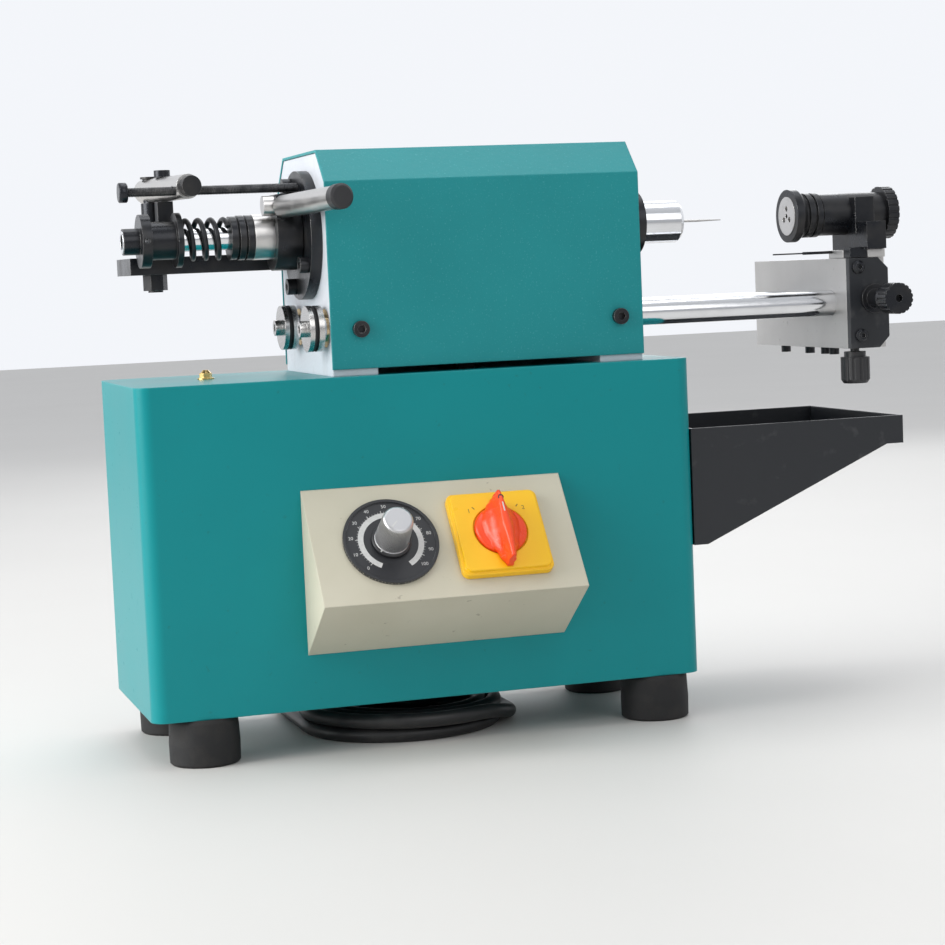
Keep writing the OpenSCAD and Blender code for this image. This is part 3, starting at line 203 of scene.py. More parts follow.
class Finish:
    """One finish of the machine: a material with its shader and the nodes that feed it."""

    def __init__(self, name):
        self.material = bpy.data.materials.new(name)
        self.material.use_nodes = True
        self.tree = self.material.node_tree
        self.shader = self.tree.nodes["Principled BSDF"]
        self.place = self.node("ShaderNodeTexCoord", out="Object")

    def node(self, kind, settings={}, sockets={}, out=0):
        """Adds a node: first its settings, then the values or wires of its sockets."""
        made = self.tree.nodes.new(kind)
        for key, value in settings.items():
            setattr(made, key, value)
        for key, value in sockets.items():
            if isinstance(value, Wire):
                self.tree.links.new(value.socket, made.inputs[key])
            else:
                made.inputs[key].default_value = value
        return Wire(self, made.outputs[out])

    def grain(self, size, detail=2, stretch=(1, 1, 1), place=None):
        """Smooth noise from 0 to 1 whose lumps are about size metres across."""
        lumps = [s / size for s in stretch]
        spot = self.node(
            "ShaderNodeVectorMath", {"operation": "MULTIPLY"}, {0: place or self.place, 1: lumps})
        return self.node("ShaderNodeTexNoise", {}, {"Vector": spot, "Scale": 1, "Detail": detail})

    def step(self, wire, low, high):
        """0 where the wire is under low, 1 where it is over high."""
        return self.node("ShaderNodeMapRange", {}, {"Value": wire, "From Min": low, "From Max": high})

    def colour(self, share, first, second):
        """A colour between two, by the share of the second."""
        pair = [c if isinstance(c, Wire) else (*c, 1) for c in (first, second)]
        return self.node("ShaderNodeMix", {"data_type": "RGBA"}, {0: share, 6: pair[0], 7: pair[1]}, out=2)

    def relief(self, height, depth, normal=None):
        """Normals of a surface whose height of 0 to 1 is depth metres."""
        sockets = {"Height": height, "Distance": depth, "Strength": 1}
        if normal:
            sockets["Normal"] = normal
        return self.node("ShaderNodeBump", {}, sockets, out="Normal")

    def soft_edges(self, radius):
        """Normals of slightly broken edges."""
        return self.node("ShaderNodeBevel", {"samples": 4}, {"Radius": radius})

    def edges(self, radius):
        """Normals of slightly broken edges, and 1 on those edges."""
        soft = self.soft_edges(radius)
        flat = self.node("ShaderNodeNewGeometry", out="Normal")
        same = self.node(
            "ShaderNodeVectorMath", {"operation": "DOT_PRODUCT"}, {0: soft, 1: flat}, out="Value")
        return soft, self.step(1 - same, 0.02, 0.2)

    def rings(self, y, z, size=0.0005):
        """Fine lines left by a lathe tool, on a piece turned round an axis along X."""
        apart = self.node("ShaderNodeVectorMath", {"operation": "SUBTRACT"}, {0: self.place, 1: (0, y, z)})
        flat = self.node("ShaderNodeVectorMath", {"operation": "MULTIPLY"}, {0: apart, 1: (0, 1, 1)})
        far = self.node("ShaderNodeVectorMath", {"operation": "LENGTH"}, {0: flat}, out="Value")
        along = self.node("ShaderNodeSeparateXYZ", {}, {0: self.place})
        spot = self.node("ShaderNodeCombineXYZ", {}, {0: along, 1: far})
        return self.grain(size, 3, place=spot)

    def done(self, **sockets):
        """Sets the shader's sockets, given by their names with _ for a space."""
        for key, value in sockets.items():
            socket = self.shader.inputs[key.replace("_", " ")]
            if isinstance(value, Wire):
                self.tree.links.new(value.socket, socket)
            else:
                socket.default_value = (*value, 1) if isinstance(value, tuple) and len(value) == 3 else value
        return self


def dress(finish, *nodes):
    """Gives these CAD nodes a finish."""
    for name in nodes:
        for material_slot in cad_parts[name].material_slots:
            material_slot.material = finish.material


pvc = Finish("black_pvc")
dust = pvc.step(pvc.grain(0.02, 4), 0.5, 0.75)
pvc.done(
    Base_Color=pvc.colour(dust * 0.35, (0.012, 0.012, 0.013), (0.07, 0.068, 0.065)),
    Roughness=0.42 + dust * 0.2, Normal=pvc.relief(pvc.grain(0.0007, 2), 0.00004), Specular_IOR_Level=0.45)
mains_cord.data.materials.append(pvc.material)
dress(pvc, "mains_plug", "cord_gland")

# ---- Cabinet -------------------------------------------------------------
# Folded steel sheet with a glossy teal enamel, sprayed on, so that it has a
# fine orange peel. The base plate and the back panel have the same coat.
teal = Finish("teal_enamel")
broken, rim = teal.edges(0.0012)
cloud = teal.grain(0.09, 3)
speck = teal.step(teal.grain(0.004, 5), 0.68, 0.74)
peel = teal.grain(0.0022, 2)
coat = teal.colour(cloud, (0.0012, 0.215, 0.232), (0.0018, 0.258, 0.275))
# Painted highlight: the edges are mixed towards a lighter teal.
coat = teal.colour(rim * 0.5, coat, (0.06, 0.45, 0.47))
coat = teal.colour(speck * 0.25, coat, (0.02, 0.10, 0.10))
teal.done(
    Base_Color=coat, Roughness=0.3 + 0.1 * cloud + 0.2 * speck, Coat_Weight=0.06, Coat_Roughness=0.1,
    Specular_IOR_Level=0.22, Normal=teal.relief(peel, 0.00004, broken))
dress(teal, "base_plate", "back_panel")


def broken_edges(node, width, finish, body):
    """A copy of a CAD node with its sharp edges rounded, which then stands for it."""
    shape = bmesh.new()
    shape.from_mesh(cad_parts[node].data)
    bmesh.ops.remove_doubles(shape, verts=shape.verts, dist=0.000002)
    bmesh.ops.dissolve_limit(
        shape, angle_limit=math.radians(0.5), verts=shape.verts, edges=shape.edges, delimit={"NORMAL"})
    mesh = mesh_of(node + "_rounded", shape)
    mesh.materials.clear()
    mesh.materials.append(finish.material)
    made = placed(node + "_rounded", mesh)
    rounding = made.modifiers.new("rounding", "BEVEL")
    rounding.width = width
    rounding.segments = 3
    rounding.limit_method = "ANGLE"
    rounding.angle_limit = math.radians(35)
    rounding.use_clamp_overlap = True
    mesh.shade_smooth()
    mesh.set_sharp_from_angle(angle=math.radians(60))
    evening = made.modifiers.new("evening", "WEIGHTED_NORMAL")
    evening.weight = 100
    evening.keep_sharp = False
    finished = bpy.data.meshes.new_from_object(made.evaluated_get(bpy.context.evaluated_depsgraph_get()))
    made.modifiers.clear()
    made.data = finished
    bpy.data.meshes.remove(mesh)
    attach(made, body)
    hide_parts(node)
    return made


broken_edges("cabinet_shell", 0.0006, teal, "base")

# ---- Headstock cover -----------------------------------------------------
# Bent sheet over the casting, with a coarser, hammered coat of the same teal.
hammer = Finish("teal_hammer")
broken, rim = hammer.edges(0.001)
cloud = hammer.grain(0.05, 3)
dimple = hammer.grain(0.0028, 1)
flake = hammer.step(hammer.grain(0.0009, 4), 0.62, 0.7)
coat = hammer.colour(cloud, (0.006, 0.215, 0.232), (0.010, 0.262, 0.28))
# Painted highlight: the edges are mixed towards a lighter teal.
coat = hammer.colour(rim * 0.5, coat, (0.10, 0.48, 0.50))
coat = hammer.colour(flake * 0.3, coat, (0.10, 0.42, 0.44))
hammer.done(
    Base_Color=coat, Roughness=0.36 + 0.1 * cloud, Coat_Weight=0.05, Coat_Roughness=0.2,
    Specular_IOR_Level=0.28, Normal=hammer.relief(dimple, 0.00012, broken))
broken_edges("headstock_cover", 0.0005, hammer, "base")

# ---- Control panel -------------------------------------------------------
# Small folded box with a satin cream powder coat, a little chipped and dusty, with a painted highlight along
# its edges.
cream = Finish("cream_powder")
broken, rim = cream.edges(0.0009)
cloud = cream.grain(0.04, 4)
grit = cream.grain(0.0009, 3)
chip = cream.step(cream.grain(0.006, 5), 0.70, 0.72)
coat = cream.colour(cloud, (0.50, 0.47, 0.36), (0.60, 0.57, 0.46))
coat = cream.colour(chip * 0.5, coat, (0.25, 0.22, 0.16))
# Painted highlight: the edges are mixed towards a lighter cream.
coat = cream.colour(rim * 0.3, coat, (0.72, 0.69, 0.58))
cream.done(Base_Color=coat, Roughness=0.48 + 0.12 * cloud, Normal=cream.relief(grit, 0.00005, broken))
broken_edges("panel_box", 0.0005, cream, "base")

# ---- Dial ----------------------------------------------------------------
# Dark grey disc in a bright pressed rim, behind the speed knob. Its scale is
# printed: a light ring, ticks and the numbers 0 to 100 over 270 degrees.
PANEL_LEFT, PANEL_TOP, PANEL_RISE, PANEL_DEPTH = 82, 114, 114 - 58.6, 42.5
PANEL_TILT = math.atan2(PANEL_RISE, PANEL_DEPTH)
PANEL_SLOPE = math.hypot(PANEL_RISE, PANEL_DEPTH)


def on_panel(across, down):
    """The frame of a place on the slope, in millimetres: x across, y up it, z out of it."""
    turn = Matrix.Rotation(PANEL_TILT, 4, "X") @ Matrix.Translation((0, -down / 1000, 0))
    return Matrix.Translation(at(PANEL_LEFT + across, 0, PANEL_TOP)) @ turn @ Matrix.Scale(0.001, 4)


def piece(name, shape, frame_of, finish, body, replaced=()):
    """Puts a shape drawn in millimetres in its place and hangs it on its CAD body."""
    bmesh.ops.transform(shape, matrix=frame_of, verts=shape.verts)
    bmesh.ops.recalc_face_normals(shape, faces=shape.faces)
    mesh = mesh_of(name, shape)
    mesh.materials.append(finish.material)
    made = placed(name, mesh)
    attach(made, body)
    if replaced:
        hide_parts(*replaced)
    return made


def flat_bar(shape, inner, outer, width, angle, low, high):
    """A printed bar that points away from the centre, between two radii."""
    turn = Matrix.Rotation(angle, 4, "Z")
    made = bmesh.ops.create_cube(shape, size=1)["verts"]
    place = Matrix.Translation(((inner + outer) / 2, 0, (low + high) / 2))
    bmesh.ops.transform(
        shape, matrix=turn @ place @ Matrix.Diagonal((outer - inner, width, high - low, 1)), verts=made)


def add_mesh(shape, mesh):
    """Adds a mesh to a drawn shape, and lets go of it."""
    shape.from_mesh(mesh)
    bpy.data.meshes.remove(mesh)


def printed_word(shape, word, size, spot, low, thick=0.04):
    """Raised print of a number, centred on a spot."""
    font = bpy.data.curves.new("print", "FONT")
    font.body = word
    font.size = size
    font.align_x = font.align_y = "CENTER"
    font.extrude = thick / 2
    font.resolution_u = 3
    holder = bpy.data.objects.new("print", font)
    mesh = bpy.data.meshes.new_from_object(holder)
    mesh.transform(Matrix.Translation((*spot, low + thick / 2)))
    add_mesh(shape, mesh)
    bpy.data.objects.remove(holder)
    bpy.data.curves.remove(font)


def band(shape, inner, outer, low, high, start=0, end=360):
    """A flat ring, or a part of one, with square edges, in steps of four degrees."""
    count = int((end - start) / 4)
    closed = end - start == 360
    rows = []
    for i in range(count + (0 if closed else 1)):
        a = math.radians(start + (end - start) * i / count)
        rows.append([
            shape.verts.new((r * math.cos(a), r * math.sin(a), z))
            for r, z in ((inner, low), (outer, low), (outer, high), (inner, high))])
    if closed:
        rows.append(rows[0])
    skin(shape, rows, ends=not closed)


def ring_of_bars():
    """A node tree that stands bars in a ring round z, by their number, places, size and material."""
    tree = bpy.data.node_groups.new("ring_of_bars", "GeometryNodeTree")
    for name, kind in (
            ("Count", "NodeSocketInt"), ("Radius", "NodeSocketFloat"), ("First Angle", "NodeSocketFloat"),
            ("Sweep", "NodeSocketFloat"), ("Height", "NodeSocketFloat"), ("Bar Size", "NodeSocketVector"),
            ("Bar Material", "NodeSocketMaterial")):
        tree.interface.new_socket(name, in_out="INPUT", socket_type=kind)
    tree.interface.new_socket("Geometry", in_out="OUTPUT", socket_type="NodeSocketGeometry")
    given = tree.nodes.new("NodeGroupInput").outputs

    def add(kind, sockets={}, out=0, **settings):
        made = tree.nodes.new(kind)
        for key, value in settings.items():
            setattr(made, key, value)
        for key, value in sockets.items():
            tree.links.new(value, made.inputs[key])
        return made.outputs[out]

    index = add("GeometryNodeInputIndex")
    gaps = add("ShaderNodeMath", {0: given["Count"]}, operation="SUBTRACT")
    share = add("ShaderNodeMath", {0: index, 1: gaps}, operation="DIVIDE")
    angle = add(
        "ShaderNodeMath", {0: share, 1: given["Sweep"], 2: given["First Angle"]}, operation="MULTIPLY_ADD")
    cosine = add("ShaderNodeMath", {0: angle}, operation="COSINE")
    sine = add("ShaderNodeMath", {0: angle}, operation="SINE")
    x = add("ShaderNodeMath", {0: cosine, 1: given["Radius"]}, operation="MULTIPLY")
    y = add("ShaderNodeMath", {0: sine, 1: given["Radius"]}, operation="MULTIPLY")
    spot = add("ShaderNodeCombineXYZ", {0: x, 1: y, 2: given["Height"]})
    turn = add("ShaderNodeCombineXYZ", {2: angle})
    points = add("GeometryNodePoints", {"Count": given["Count"], "Position": spot})
    bar = add("GeometryNodeMeshCube", {"Size": given["Bar Size"]})
    bars = add("GeometryNodeInstanceOnPoints", {"Points": points, "Instance": bar, "Rotation": turn})
    solid = add("GeometryNodeRealizeInstances", {0: bars})
    coated = add("GeometryNodeSetMaterial", {"Geometry": solid, "Material": given["Bar Material"]})
    tree.links.new(coated, tree.nodes.new("NodeGroupOutput").inputs[0])
    return tree


def grown(tree, **inputs):
    """The plain mesh that a node tree makes from these inputs."""
    holder = placed("holder", bpy.data.meshes.new("holder"))
    maker = holder.modifiers.new("maker", "NODES")
    maker.node_group = tree
    for item in tree.interface.items_tree:
        if item.in_out == "INPUT":
            maker[item.identifier] = inputs[item.name.replace(" ", "_")]
    made = bpy.data.meshes.new_from_object(holder.evaluated_get(bpy.context.evaluated_depsgraph_get()))
    holder.modifiers.clear()
    bpy.data.objects.remove(holder)
    return made


ink = Finish("white_print")
ink.done(
    Base_Color=ink.colour(ink.grain(0.0015, 3), (0.50, 0.50, 0.49), (0.68, 0.68, 0.66)), Roughness=0.5,
    Normal=ink.relief(ink.grain(0.0006, 2), 0.00001))
dial_place = on_panel(41, PANEL_SLOPE / 2)
DIAL_FACE, PRINT = 1.2, 0.04
DIAL_START, DIAL_SWEEP = 225, -270
NUMBERS_RADIUS = 20.9
scale = bmesh.new()
band(scale, 14.3, 17.2, DIAL_FACE, DIAL_FACE + PRINT, -62, 242)
bars = ring_of_bars()
for count, radius, size in ((51, 17.5, (0.8, 0.2, PRINT)), (11, 17.85, (1.5, 0.32, PRINT + 0.002))):
    add_mesh(scale, grown(
        bars, Count=count, Radius=radius, First_Angle=math.radians(DIAL_START),
        Sweep=math.radians(DIAL_SWEEP), Height=DIAL_FACE + PRINT / 2, Bar_Size=size,
        Bar_Material=ink.material))
for tens in range(11):
    angle = math.radians(DIAL_START + DIAL_SWEEP * tens / 10)
    spot = (NUMBERS_RADIUS * math.cos(angle), NUMBERS_RADIUS * math.sin(angle))
    printed_word(scale, str(tens * 10), 2.7, spot, DIAL_FACE)
piece("dial_scale", scale, dial_place, ink, "base")

bright = Finish("bright_rim")
bright.done(
    Base_Color=bright.colour(bright.grain(0.004, 4), (0.60, 0.60, 0.61), (0.80, 0.80, 0.81)), Metallic=1.0,
    Roughness=0.16 + 0.1 * bright.grain(0.002, 3))
RIM_TOP = 1.9
rim_ring = bmesh.new()
band(rim_ring, 23.35, 25.0, 0.35, RIM_TOP)
top_edges = []
for edge in rim_ring.edges:
    one, two = (point.co for point in edge.verts)
    if min(one.z, two.z) > RIM_TOP - 0.1 and abs(one.length - two.length) < 0.1:
        top_edges.append(edge)
bmesh.ops.bevel(rim_ring, geom=top_edges, offset=0.5, segments=3, affect="EDGES")
piece("dial_rim", rim_ring, dial_place, bright, "base")


# ---- Speed knob ----------------------------------------------------------
# Turned aluminium knob, straight-knurled all round and slightly tapered, with
# a spun top and a white pointer line, over a black skirt on the shaft.
def turning(profile, sides, flutes=0):
    """A solid turned round z from points of a radius, a height and a flute's depth."""
    shape = bmesh.new()
    rows = []
    for r, z, cut in profile:
        row = []
        for i in range(sides):
            a = 2 * math.pi * i / sides
            far = r - cut * (0.5 + 0.5 * math.cos(flutes * a))
            row.append(shape.verts.new((far * math.cos(a), far * math.sin(a), z)))
        rows.append(row)
    skin(shape, rows, smooth=not flutes)
    return shape


def moulding(name, colour, light, rough):
    """A moulded plastic of one colour, clouded with a lighter one."""
    made = Finish(name)
    broken = made.soft_edges(0.0006)
    cloud = made.grain(0.012, 4)
    coat = made.colour(cloud * 0.35, colour, light)
    return made.done(
        Base_Color=coat, Roughness=rough + 0.12 * cloud,
        Normal=made.relief(made.grain(0.0006, 3), 0.00003, broken), Specular_IOR_Level=0.5)


knob_alu = Finish("turned_aluminium")
broken, rim = knob_alu.edges(0.0003)
knob_centre = dial_place.translation
from_centre = knob_alu.node(
    "ShaderNodeVectorMath", {"operation": "DISTANCE"}, {0: knob_alu.place, 1: knob_centre}, out="Value")
spun = knob_alu.grain(0.0004, 2, place=knob_alu.node("ShaderNodeCombineXYZ", {}, {0: from_centre}))
# Painted highlight: the edges are mixed towards a lighter grey.
coat = knob_alu.colour(rim * 0.6, (0.56, 0.56, 0.57), (0.85, 0.85, 0.86))
knob_alu.done(
    Base_Color=coat, Metallic=0.9, Roughness=0.3 + 0.15 * spun, Normal=knob_alu.relief(spun, 0.00001, broken))
KNURLS, KNURL = 60, 0.42
knob = turning([
    (8.8, 1.8, 0), (9.0, 2.1, 0), (9.0, 3.0, 0), (8.9, 3.3, KNURL), (8.6, 10, KNURL), (8.25, 18, KNURL),
    (8.0, 20.6, KNURL), (7.7, 21.2, 0.1), (7.1, 21.9, 0), (6.4, 22.2, 0)], 4 * KNURLS, KNURLS)
knob_place = dial_place @ Matrix.Translation((0, 0, 0.5))
piece("knob_grip", knob, knob_place, knob_alu, "knob", ["speed_knob"])
dark = moulding("black_moulding", (0.018, 0.018, 0.02), (0.045, 0.045, 0.048), 0.34)
skirt = turning([(9.9, 1.75, 0), (10.3, 2.0, 0), (10.3, 2.9, 0), (9.9, 3.3, 0), (8.5, 3.6, 0)], 72)
piece("knob_skirt", skirt, dial_place, dark, "knob")
pointer = bmesh.new()
flat_bar(pointer, 1.5, 6.2, 0.7, math.radians(DIAL_START), 22.68, 22.74)
flat_bar(pointer, 8.6, 10.1, 0.7, math.radians(DIAL_START), 3.5, 3.86)
piece("knob_pointer", pointer, dial_place, ink, "knob")

# ---- Feet ----------------------------------------------------------------
# Four moulded rubber feet, screwed under the base, dull black with a little
# dust in patches and a painted highlight along their edges. The drive belt inside is of the same rubber.
rubber = Finish("black_rubber")
broken, rim = rubber.edges(0.0012)
dust = rubber.step(rubber.grain(0.012, 5), 0.45, 0.75)
# Dust in patches, and a painted highlight on the edges, lighten the black.
coat = rubber.colour(dust * 0.4 + rim * 0.2, (0.012, 0.012, 0.013), (0.06, 0.055, 0.05))
rubber.done(
    Base_Color=coat, Roughness=0.62 + 0.2 * dust, Specular_IOR_Level=0.4,
    Normal=rubber.relief(rubber.grain(0.0008, 4), 0.00008, broken))
dress(rubber, "rubber_feet", "drive_belt")

# ---- Casting -------------------------------------------------------------
# Cast headstock, smoothed and painted silver-grey. The paint fills most of the
# pores, and oil has left a few grey stains on it.
silver = Finish("silver_paint")
broken = silver.soft_edges(0.001)
pore = silver.step(silver.grain(0.0016, 4), 0.35, 0.55)
stain = silver.step(silver.grain(0.018, 5), 0.52, 0.78)
coat = silver.colour(stain * 0.35, (0.66, 0.69, 0.74), (0.36, 0.35, 0.34))
silver.done(
    Base_Color=coat, Metallic=0.25, Roughness=0.42 + 0.15 * stain,
    Normal=silver.relief(pore, 0.00005, broken))
dress(silver, "headstock_casting")


# ---- Black steel ---------------------------------------------------------
# Heat-blackened and oiled steel: blue-black, with bright worn edges, and with
# the lines of the tool on everything that was turned round the spindle's axis.
def black_steel(name, y, z, wear=0.6):
    """Blackened steel whose tool lines go round an axis along X at y and z."""
    made = Finish(name)
    broken, rim = made.edges(0.0005)
    rub = made.step(made.grain(0.006, 5), 0.35, 0.7)
    lines = made.rings(y, z, 0.00045)
    oil = made.step(made.grain(0.015, 4), 0.4, 0.7)
    coat = made.colour(oil, (0.016, 0.018, 0.023), (0.034, 0.033, 0.033))
    coat = made.colour(rim * rub * wear, coat, (0.42, 0.41, 0.40))
    return made.done(
        Base_Color=coat, Metallic=0.6, Roughness=0.24 + 0.14 * oil + 0.06 * lines, Specular_IOR_Level=0.7,
        Normal=made.relief(lines, 0.000012, broken))


SPINDLE_Y, DIE_Y, AXIS_Z = 52, 22, 245
spindle_y, spindle_z = at(0, SPINDLE_Y, AXIS_Z)[1:]
die_y = at(0, DIE_Y, AXIS_Z).y
black_turned = black_steel("black_steel_turned", spindle_y, spindle_z)
dress(black_turned, "rear_cap", "spool", "lever_ring", "spring_seat", "nose_ring")
black_die = black_steel("black_steel_die", die_y, spindle_z, 0.45)
dress(black_die, "die_head", "adjusting_ring", "clamp_knob")
# What is milled has lines round an axis far off, which are nearly straight.
black_milled = black_steel("black_steel_milled", 0.3, 0.9, 0.7)
dress(
    black_milled, "headstock_screws", "bracket_plate", "fork", "pivot_bolt", "tail_screws", "die_holder",
    "side_needle")


# ---- Tie rod -------------------------------------------------------------
# M5 studding from the headstock's cap to the cross arm, blackened, with its
# thread rolled over the whole length and a round head at the left end.
THREAD_START, THREAD_END, THREAD_RADIUS = 8.6, 114.4, 2.5
THREAD_PITCH, THREAD_DEPTH = 0.8, 0.38
steps, sides = 640, 20
rod = bmesh.new()
rows = []
for i in range(steps + 1):
    x = THREAD_START + (THREAD_END - THREAD_START) * i / steps
    row = []
    for k in range(sides):
        a = math.tau * k / sides
        r = THREAD_RADIUS - THREAD_DEPTH * abs(((x / THREAD_PITCH - a / math.tau) % 1) * 2 - 1)
        row.append(rod.verts.new((x, r * math.cos(a), r * math.sin(a))))
    rows.append(row)
skin(rod, rows)
rod_place = Matrix.Translation(at(0, 46, 270.3)) @ Matrix.Scale(0.001, 4)
head = turning([(4.7, 4.0, 0), (5.2, 4.5, 0), (5.2, 8.1, 0), (4.7, THREAD_START, 0)], 48)
bmesh.ops.transform(head, matrix=Matrix.Rotation(math.radians(90), 4, "Y"), verts=head.verts)
add_mesh(rod, mesh_of("head", head))
piece("tie_studding", rod, rod_place, black_turned, "base", ["tie_rod"])


# ---- Bright steel --------------------------------------------------------
# Turned and ground steel, and hard chrome on the guide rods, the spindle's nose
# and the feed tube. Both keep very fine rings round the spindle's axis.
def bright_steel(name, y, z, colour, rough, depth=0.000006):
    """Bright steel whose rings, depth metres deep, go round an axis along X at y and z."""
    made = Finish(name)
    broken = made.soft_edges(0.0004)
    lines = made.rings(y, z, 0.0004)
    smear = made.step(made.grain(0.011, 5), 0.45, 0.75)
    coat = made.colour(smear * 0.35, colour, tuple(c * 0.72 for c in colour))
    return made.done(
        Base_Color=coat, Metallic=1.0, Roughness=rough + 0.1 * smear + 0.06 * lines,
        Normal=made.relief(lines, depth, broken))


steel = bright_steel("turned_steel", spindle_y, spindle_z, (0.62, 0.61, 0.60), 0.26)
dress(steel, "spindle", "closer_sleeve", "lever_handle", "collet", "collet_needle", "bearings", "die_face")
dress(steel, "motor_rotor", "case_screws", "speed_pot", "cross_arm")
chrome = bright_steel("hard_chrome", spindle_y, spindle_z, (0.80, 0.81, 0.83), 0.09, 0.000003)
dress(chrome, "guide_rods", "spindle_nose", "feed_tube")

# ---- Rod stops -----------------------------------------------------------
# Turned steel washers on the left ends of the guide rods, with a black rubber
# ring between each pair that takes the knock of the carriage.
stop = Finish("stop_washers")
broken = stop.soft_edges(0.0004)
lines = stop.rings(0, 0, 0.0004)
along = stop.node("ShaderNodeSeparateXYZ", {}, {0: stop.place})
gum_start, gum_end = at(96.4, 0, 0).x, at(98.8, 0, 0).x
seam = 0.00002
after_start = stop.step(along, gum_start - seam, gum_start + seam)
gum = after_start * (1 - stop.step(along, gum_end - seam, gum_end + seam))
washer = stop.colour(lines, (0.50, 0.49, 0.48), (0.64, 0.63, 0.62))
stop.done(
    Base_Color=stop.colour(gum, washer, (0.012, 0.012, 0.013)), Metallic=1 - gum,
    Roughness=0.24 + 0.35 * gum + 0.06 * lines, Normal=stop.relief(lines, 0.000006, broken))
dress(stop, "rod_stops")

# ---- Closing spring ------------------------------------------------------
# Round oil-blackened wire wound over the feed tube. It is pressed between the
# spool and its seat.
SPRING_START, SPRING_LENGTH, SPRING_RADIUS, SPRING_WIRE = 37.35, 22.9, 10, 1.4
steps, steps_a_turn = 170, 50
spring_line = []
for k in range(steps + 1):
    a = k * math.tau / steps_a_turn
    x = SPRING_START + SPRING_LENGTH * k / steps
    spring_line.append(Vector((x, SPRING_RADIUS * math.cos(a), SPRING_RADIUS * math.sin(a))))
spring_place = Matrix.Translation(at(0, SPINDLE_Y, AXIS_Z)) @ Matrix.Scale(0.001, 4)
wound = piece(
    "wound_spring", tube(spring_line, SPRING_WIRE, 18), spring_place, black_turned, "spindle",
    ["closing_spring"])
at(35.9, 52, 245)
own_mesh(wound)

# ---- Aluminium -----------------------------------------------------------
# Satin milled aluminium of the tail block, the cross slide and the pulley,
# with straight cutter marks across and a few scratches.
alu = Finish("milled_aluminium")
broken, rim = alu.edges(0.0005)
cuts = alu.grain(0.0009, 3, stretch=(1, 0.08, 1))
scratch = alu.step(alu.grain(0.003, 6, stretch=(0.2, 1, 1)), 0.66, 0.7)
cloud = alu.grain(0.02, 4)
coat = alu.colour(cloud, (0.50, 0.49, 0.48), (0.62, 0.61, 0.60))
coat = alu.colour(scratch * 0.4, coat, (0.30, 0.29, 0.28))
# Painted highlight: the edges are mixed towards a light grey.
coat = alu.colour(rim * 0.5, coat, (0.80, 0.80, 0.80))
alu.done(
    Base_Color=coat, Metallic=0.85, Roughness=0.38 + 0.14 * cloud, Normal=alu.relief(cuts, 0.00002, broken))
dress(alu, "spindle_pulley")
broken_edges("tail_block", 0.0005, alu, "carriage")
broken_edges("cross_slide", 0.0004, alu, "cross")

# ---- Tray ----------------------------------------------------------------
# Folded sheet steel with a semi-gloss black powder coat and a few grey scuffs.
# The motor's case and the plate on the tail block have the same coat.
black = Finish("black_powder")
broken, rim = black.edges(0.0008)
scuff = black.step(black.grain(0.012, 6), 0.60, 0.75)
coat = black.colour(scuff * 0.5, (0.014, 0.016, 0.020), (0.075, 0.075, 0.078))
# Painted highlight: the edges are mixed towards a lighter grey.
coat = black.colour(rim * 0.35, coat, (0.11, 0.11, 0.115))
black.done(
    Base_Color=coat, Roughness=0.36 + 0.2 * scuff,
    Normal=black.relief(black.grain(0.001, 3), 0.00005, broken))
dress(black, "motor_case")
broken_edges("chip_tray", 0.0005, black, "base")
broken_edges("tail_plate", 0.0004, black, "carriage")

# ---- Brass and bronze ----------------------------------------------------
# Turned and left plain, a little tarnished: the nut and the washer of the
# earth stud, and the bushes that the guide rods slide in.
brass = Finish("plain_brass")
broken = brass.soft_edges(0.0003)
tarnish = brass.step(brass.grain(0.004, 5), 0.4, 0.7)
brass.done(
    Base_Color=brass.colour(tarnish * 0.6, (0.78, 0.55, 0.22), (0.40, 0.25, 0.10)), Metallic=1.0,
    Roughness=0.25 + 0.2 * tarnish, Normal=broken)
dress(brass, "earth_stud", "rod_bushes")

# ---- Plastics ------------------------------------------------------------
# Moulded plastics with a fine grain: the yellow switch plate, its red handle,
# the black knobs, caps and switch body, the dial's disc and the green board.
yellow = moulding("yellow_moulding", (0.92, 0.52, 0.006), (0.98, 0.62, 0.02), 0.24)
red = moulding("red_moulding", (0.88, 0.055, 0.008), (0.95, 0.12, 0.02), 0.22)
board = moulding("green_board", (0.01, 0.12, 0.04), (0.02, 0.16, 0.06), 0.3)
dial_face = moulding("dial_face", (0.020, 0.021, 0.024), (0.035, 0.036, 0.040), 0.30)
broken_edges("switch_plate", 0.0006, yellow, "base")
dress(dark, "switch_body", "handle_cap", "lock_knob")
dress(board, "control_board")
dress(dial_face, "dial_plate")

# ---- Switch --------------------------------------------------------------
# Yellow moulded plate with the marks 1, 0 and 2, and a red handle whose grip
# swells in the middle and runs to a point at each end.
switch_place = on_panel(98.5, PANEL_SLOPE / 2 + 1)
PLATE_FACE = 6
marks = bmesh.new()
printed_word(marks, "1", 3.4, (-14.5, 12.5), PLATE_FACE)
printed_word(marks, "0", 3.0, (4.5, 21.2), PLATE_FACE)
printed_word(marks, "2", 3.4, (15, 12.5), PLATE_FACE)
for degrees in (130, 50):
    flat_bar(marks, 17.5, 19.3, 0.5, math.radians(degrees), PLATE_FACE, PLATE_FACE + PRINT)
brown_ink = Finish("brown_print")
faded = brown_ink.grain(0.0015, 3)
brown_ink.done(Base_Color=brown_ink.colour(faded, (0.16, 0.09, 0.01), (0.24, 0.13, 0.02)), Roughness=0.5)
piece("switch_marks", marks, switch_place, brown_ink, "base")


widths = [(-22, 1.6), (-16, 4.4), (-9, 7.5), (-2, 9.6), (4, 9.8), (9, 8.2), (13, 5.6), (17, 2.6)]
GRIP_TAIL, GRIP_TIP = widths[0][0], widths[-1][0]


def half_width(v):
    """Half the width of the grip's foot, at a place along the grip."""
    for (a, wide_a), (b, wide_b) in zip(widths, widths[1:]):
        if v <= b:
            return wide_a + (wide_b - wide_a) * eased(v, a, b)
    return widths[-1][1]


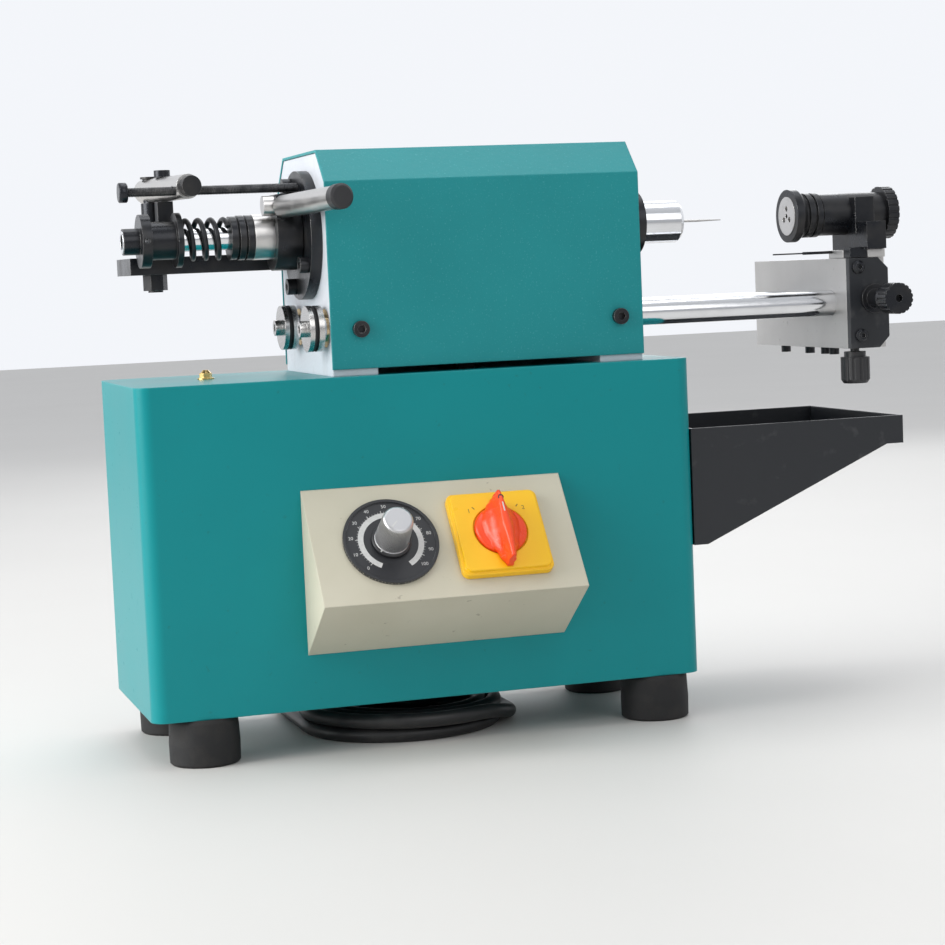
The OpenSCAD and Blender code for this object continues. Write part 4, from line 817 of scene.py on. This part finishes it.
grip = bmesh.new()
rows = []
cuts_along = 39
for i in range(cuts_along + 1):
    v = GRIP_TAIL + (GRIP_TIP - GRIP_TAIL) * i / cuts_along
    foot = half_width(v)
    top = 13.9 - 2.2 * max(0, (-v - 8) / 14) ** 1.5 - 1.2 * max(0, (v - 9) / 8) ** 2
    crest = 1.0 + 1.6 * (1 - abs(v + 2.5) / 20)
    half = [
        (foot, 1.4), (foot, 3.2), (foot * 0.72, 4.6), (crest + 0.9, 7.5), (crest, top - 1.2),
        (crest * 0.6, top)]
    section = [(-u, w) for u, w in half] + half[::-1]
    rows.append([grip.verts.new((u, v, w)) for u, w in section])
skin(grip, rows, smooth=True)
disc = turning([(13.9, 0.1, 0), (13.9, 1.0, 0), (13.5, 2.2, 0), (12.6, 2.9, 0), (11, 3.1, 0)], 72)
add_mesh(grip, mesh_of("disc", disc))
handle_place = switch_place @ Matrix.Translation((0, 0, 5))
piece("switch_grip", grip, handle_place, red, "switch", ["switch_handle"])
stripe = bmesh.new()
flat_bar(stripe, 3.5, 9.0, 0.7, math.radians(90), 13.4, 13.95)
piece("switch_pointer", stripe, handle_place, ink, "switch")
hole = turning([(1.5, 13.0, 0), (1.5, 13.5, 0), (1.2, 13.62, 0)], 24)
piece("switch_hole", hole, handle_place @ Matrix.Translation((0, 12.4, 0)), dark, "switch")

# ---- Floor and light -----------------------------------------------------
# A plain pale floor under soft light: a large panel from the left, weaker ones
# from the front, from above and from behind, and a pale room round them.
floor_mesh = bpy.data.meshes.new("floor")
floor_mesh.from_pydata([(-6, -6, 0), (6, -6, 0), (6, 6, 0), (-6, 6, 0)], [], [(0, 1, 2, 3)])
floor = placed("floor", floor_mesh)
pale = Finish("pale_floor")
pale.done(
    Base_Color=pale.colour(pale.grain(0.3, 4), (0.58, 0.57, 0.55), (0.62, 0.61, 0.59)), Roughness=0.6)
floor_mesh.materials.append(pale.material)


def lamp(name, place, aim, size, power, colour):
    """A square panel of light of size metres, turned towards a place."""
    data = bpy.data.lights.new(name, "AREA")
    data.shape = "SQUARE"
    data.size = size
    data.energy = power
    data.color = colour
    made = placed(name, data)
    made.location = place
    made.rotation_euler = (Vector(aim) - Vector(place)).to_track_quat("-Z", "Y").to_euler()


lamp("left_panel", (-1.6, -0.1, 0.75), (0, 0, 0.15), 1.2, 30, (1.0, 0.995, 0.98))
lamp("front_panel", (0.35, -1.9, 1.3), (0, 0, 0.15), 1.3, 8, (1.0, 0.99, 0.98))
lamp("top_panel", (0.1, 0.2, 1.7), (0, 0, 0.1), 1.2, 9, (0.98, 0.99, 1.0))
lamp("rear_panel", (0.7, 1.5, 0.9), (0, 0, 0.15), 1.0, 6, (0.98, 0.99, 1.0))
room = bpy.data.worlds.new("room")
room.use_nodes = True
walls = room.node_tree
facing = walls.nodes.new("ShaderNodeTexCoord")
parts = walls.nodes.new("ShaderNodeSeparateXYZ")
glow = walls.nodes.new("ShaderNodeMapRange")
for name, value in (("From Min", -0.9), ("From Max", 0.5), ("To Min", 0.5), ("To Max", 0.97)):
    glow.inputs[name].default_value = value
walls.links.new(facing.outputs["Generated"], parts.inputs[0])
walls.links.new(parts.outputs["Y"], glow.inputs["Value"])
walls.links.new(glow.outputs["Result"], walls.nodes["Background"].inputs["Strength"])
walls.nodes["Background"].inputs["Color"].default_value = (0.93, 0.95, 0.99, 1)
bpy.context.scene.world = room
bpy.context.scene.view_settings.view_transform = "Standard"

# ---- Last update ---------------------------------------------------------
# The view layer is brought up to date.
bpy.context.view_layer.update()
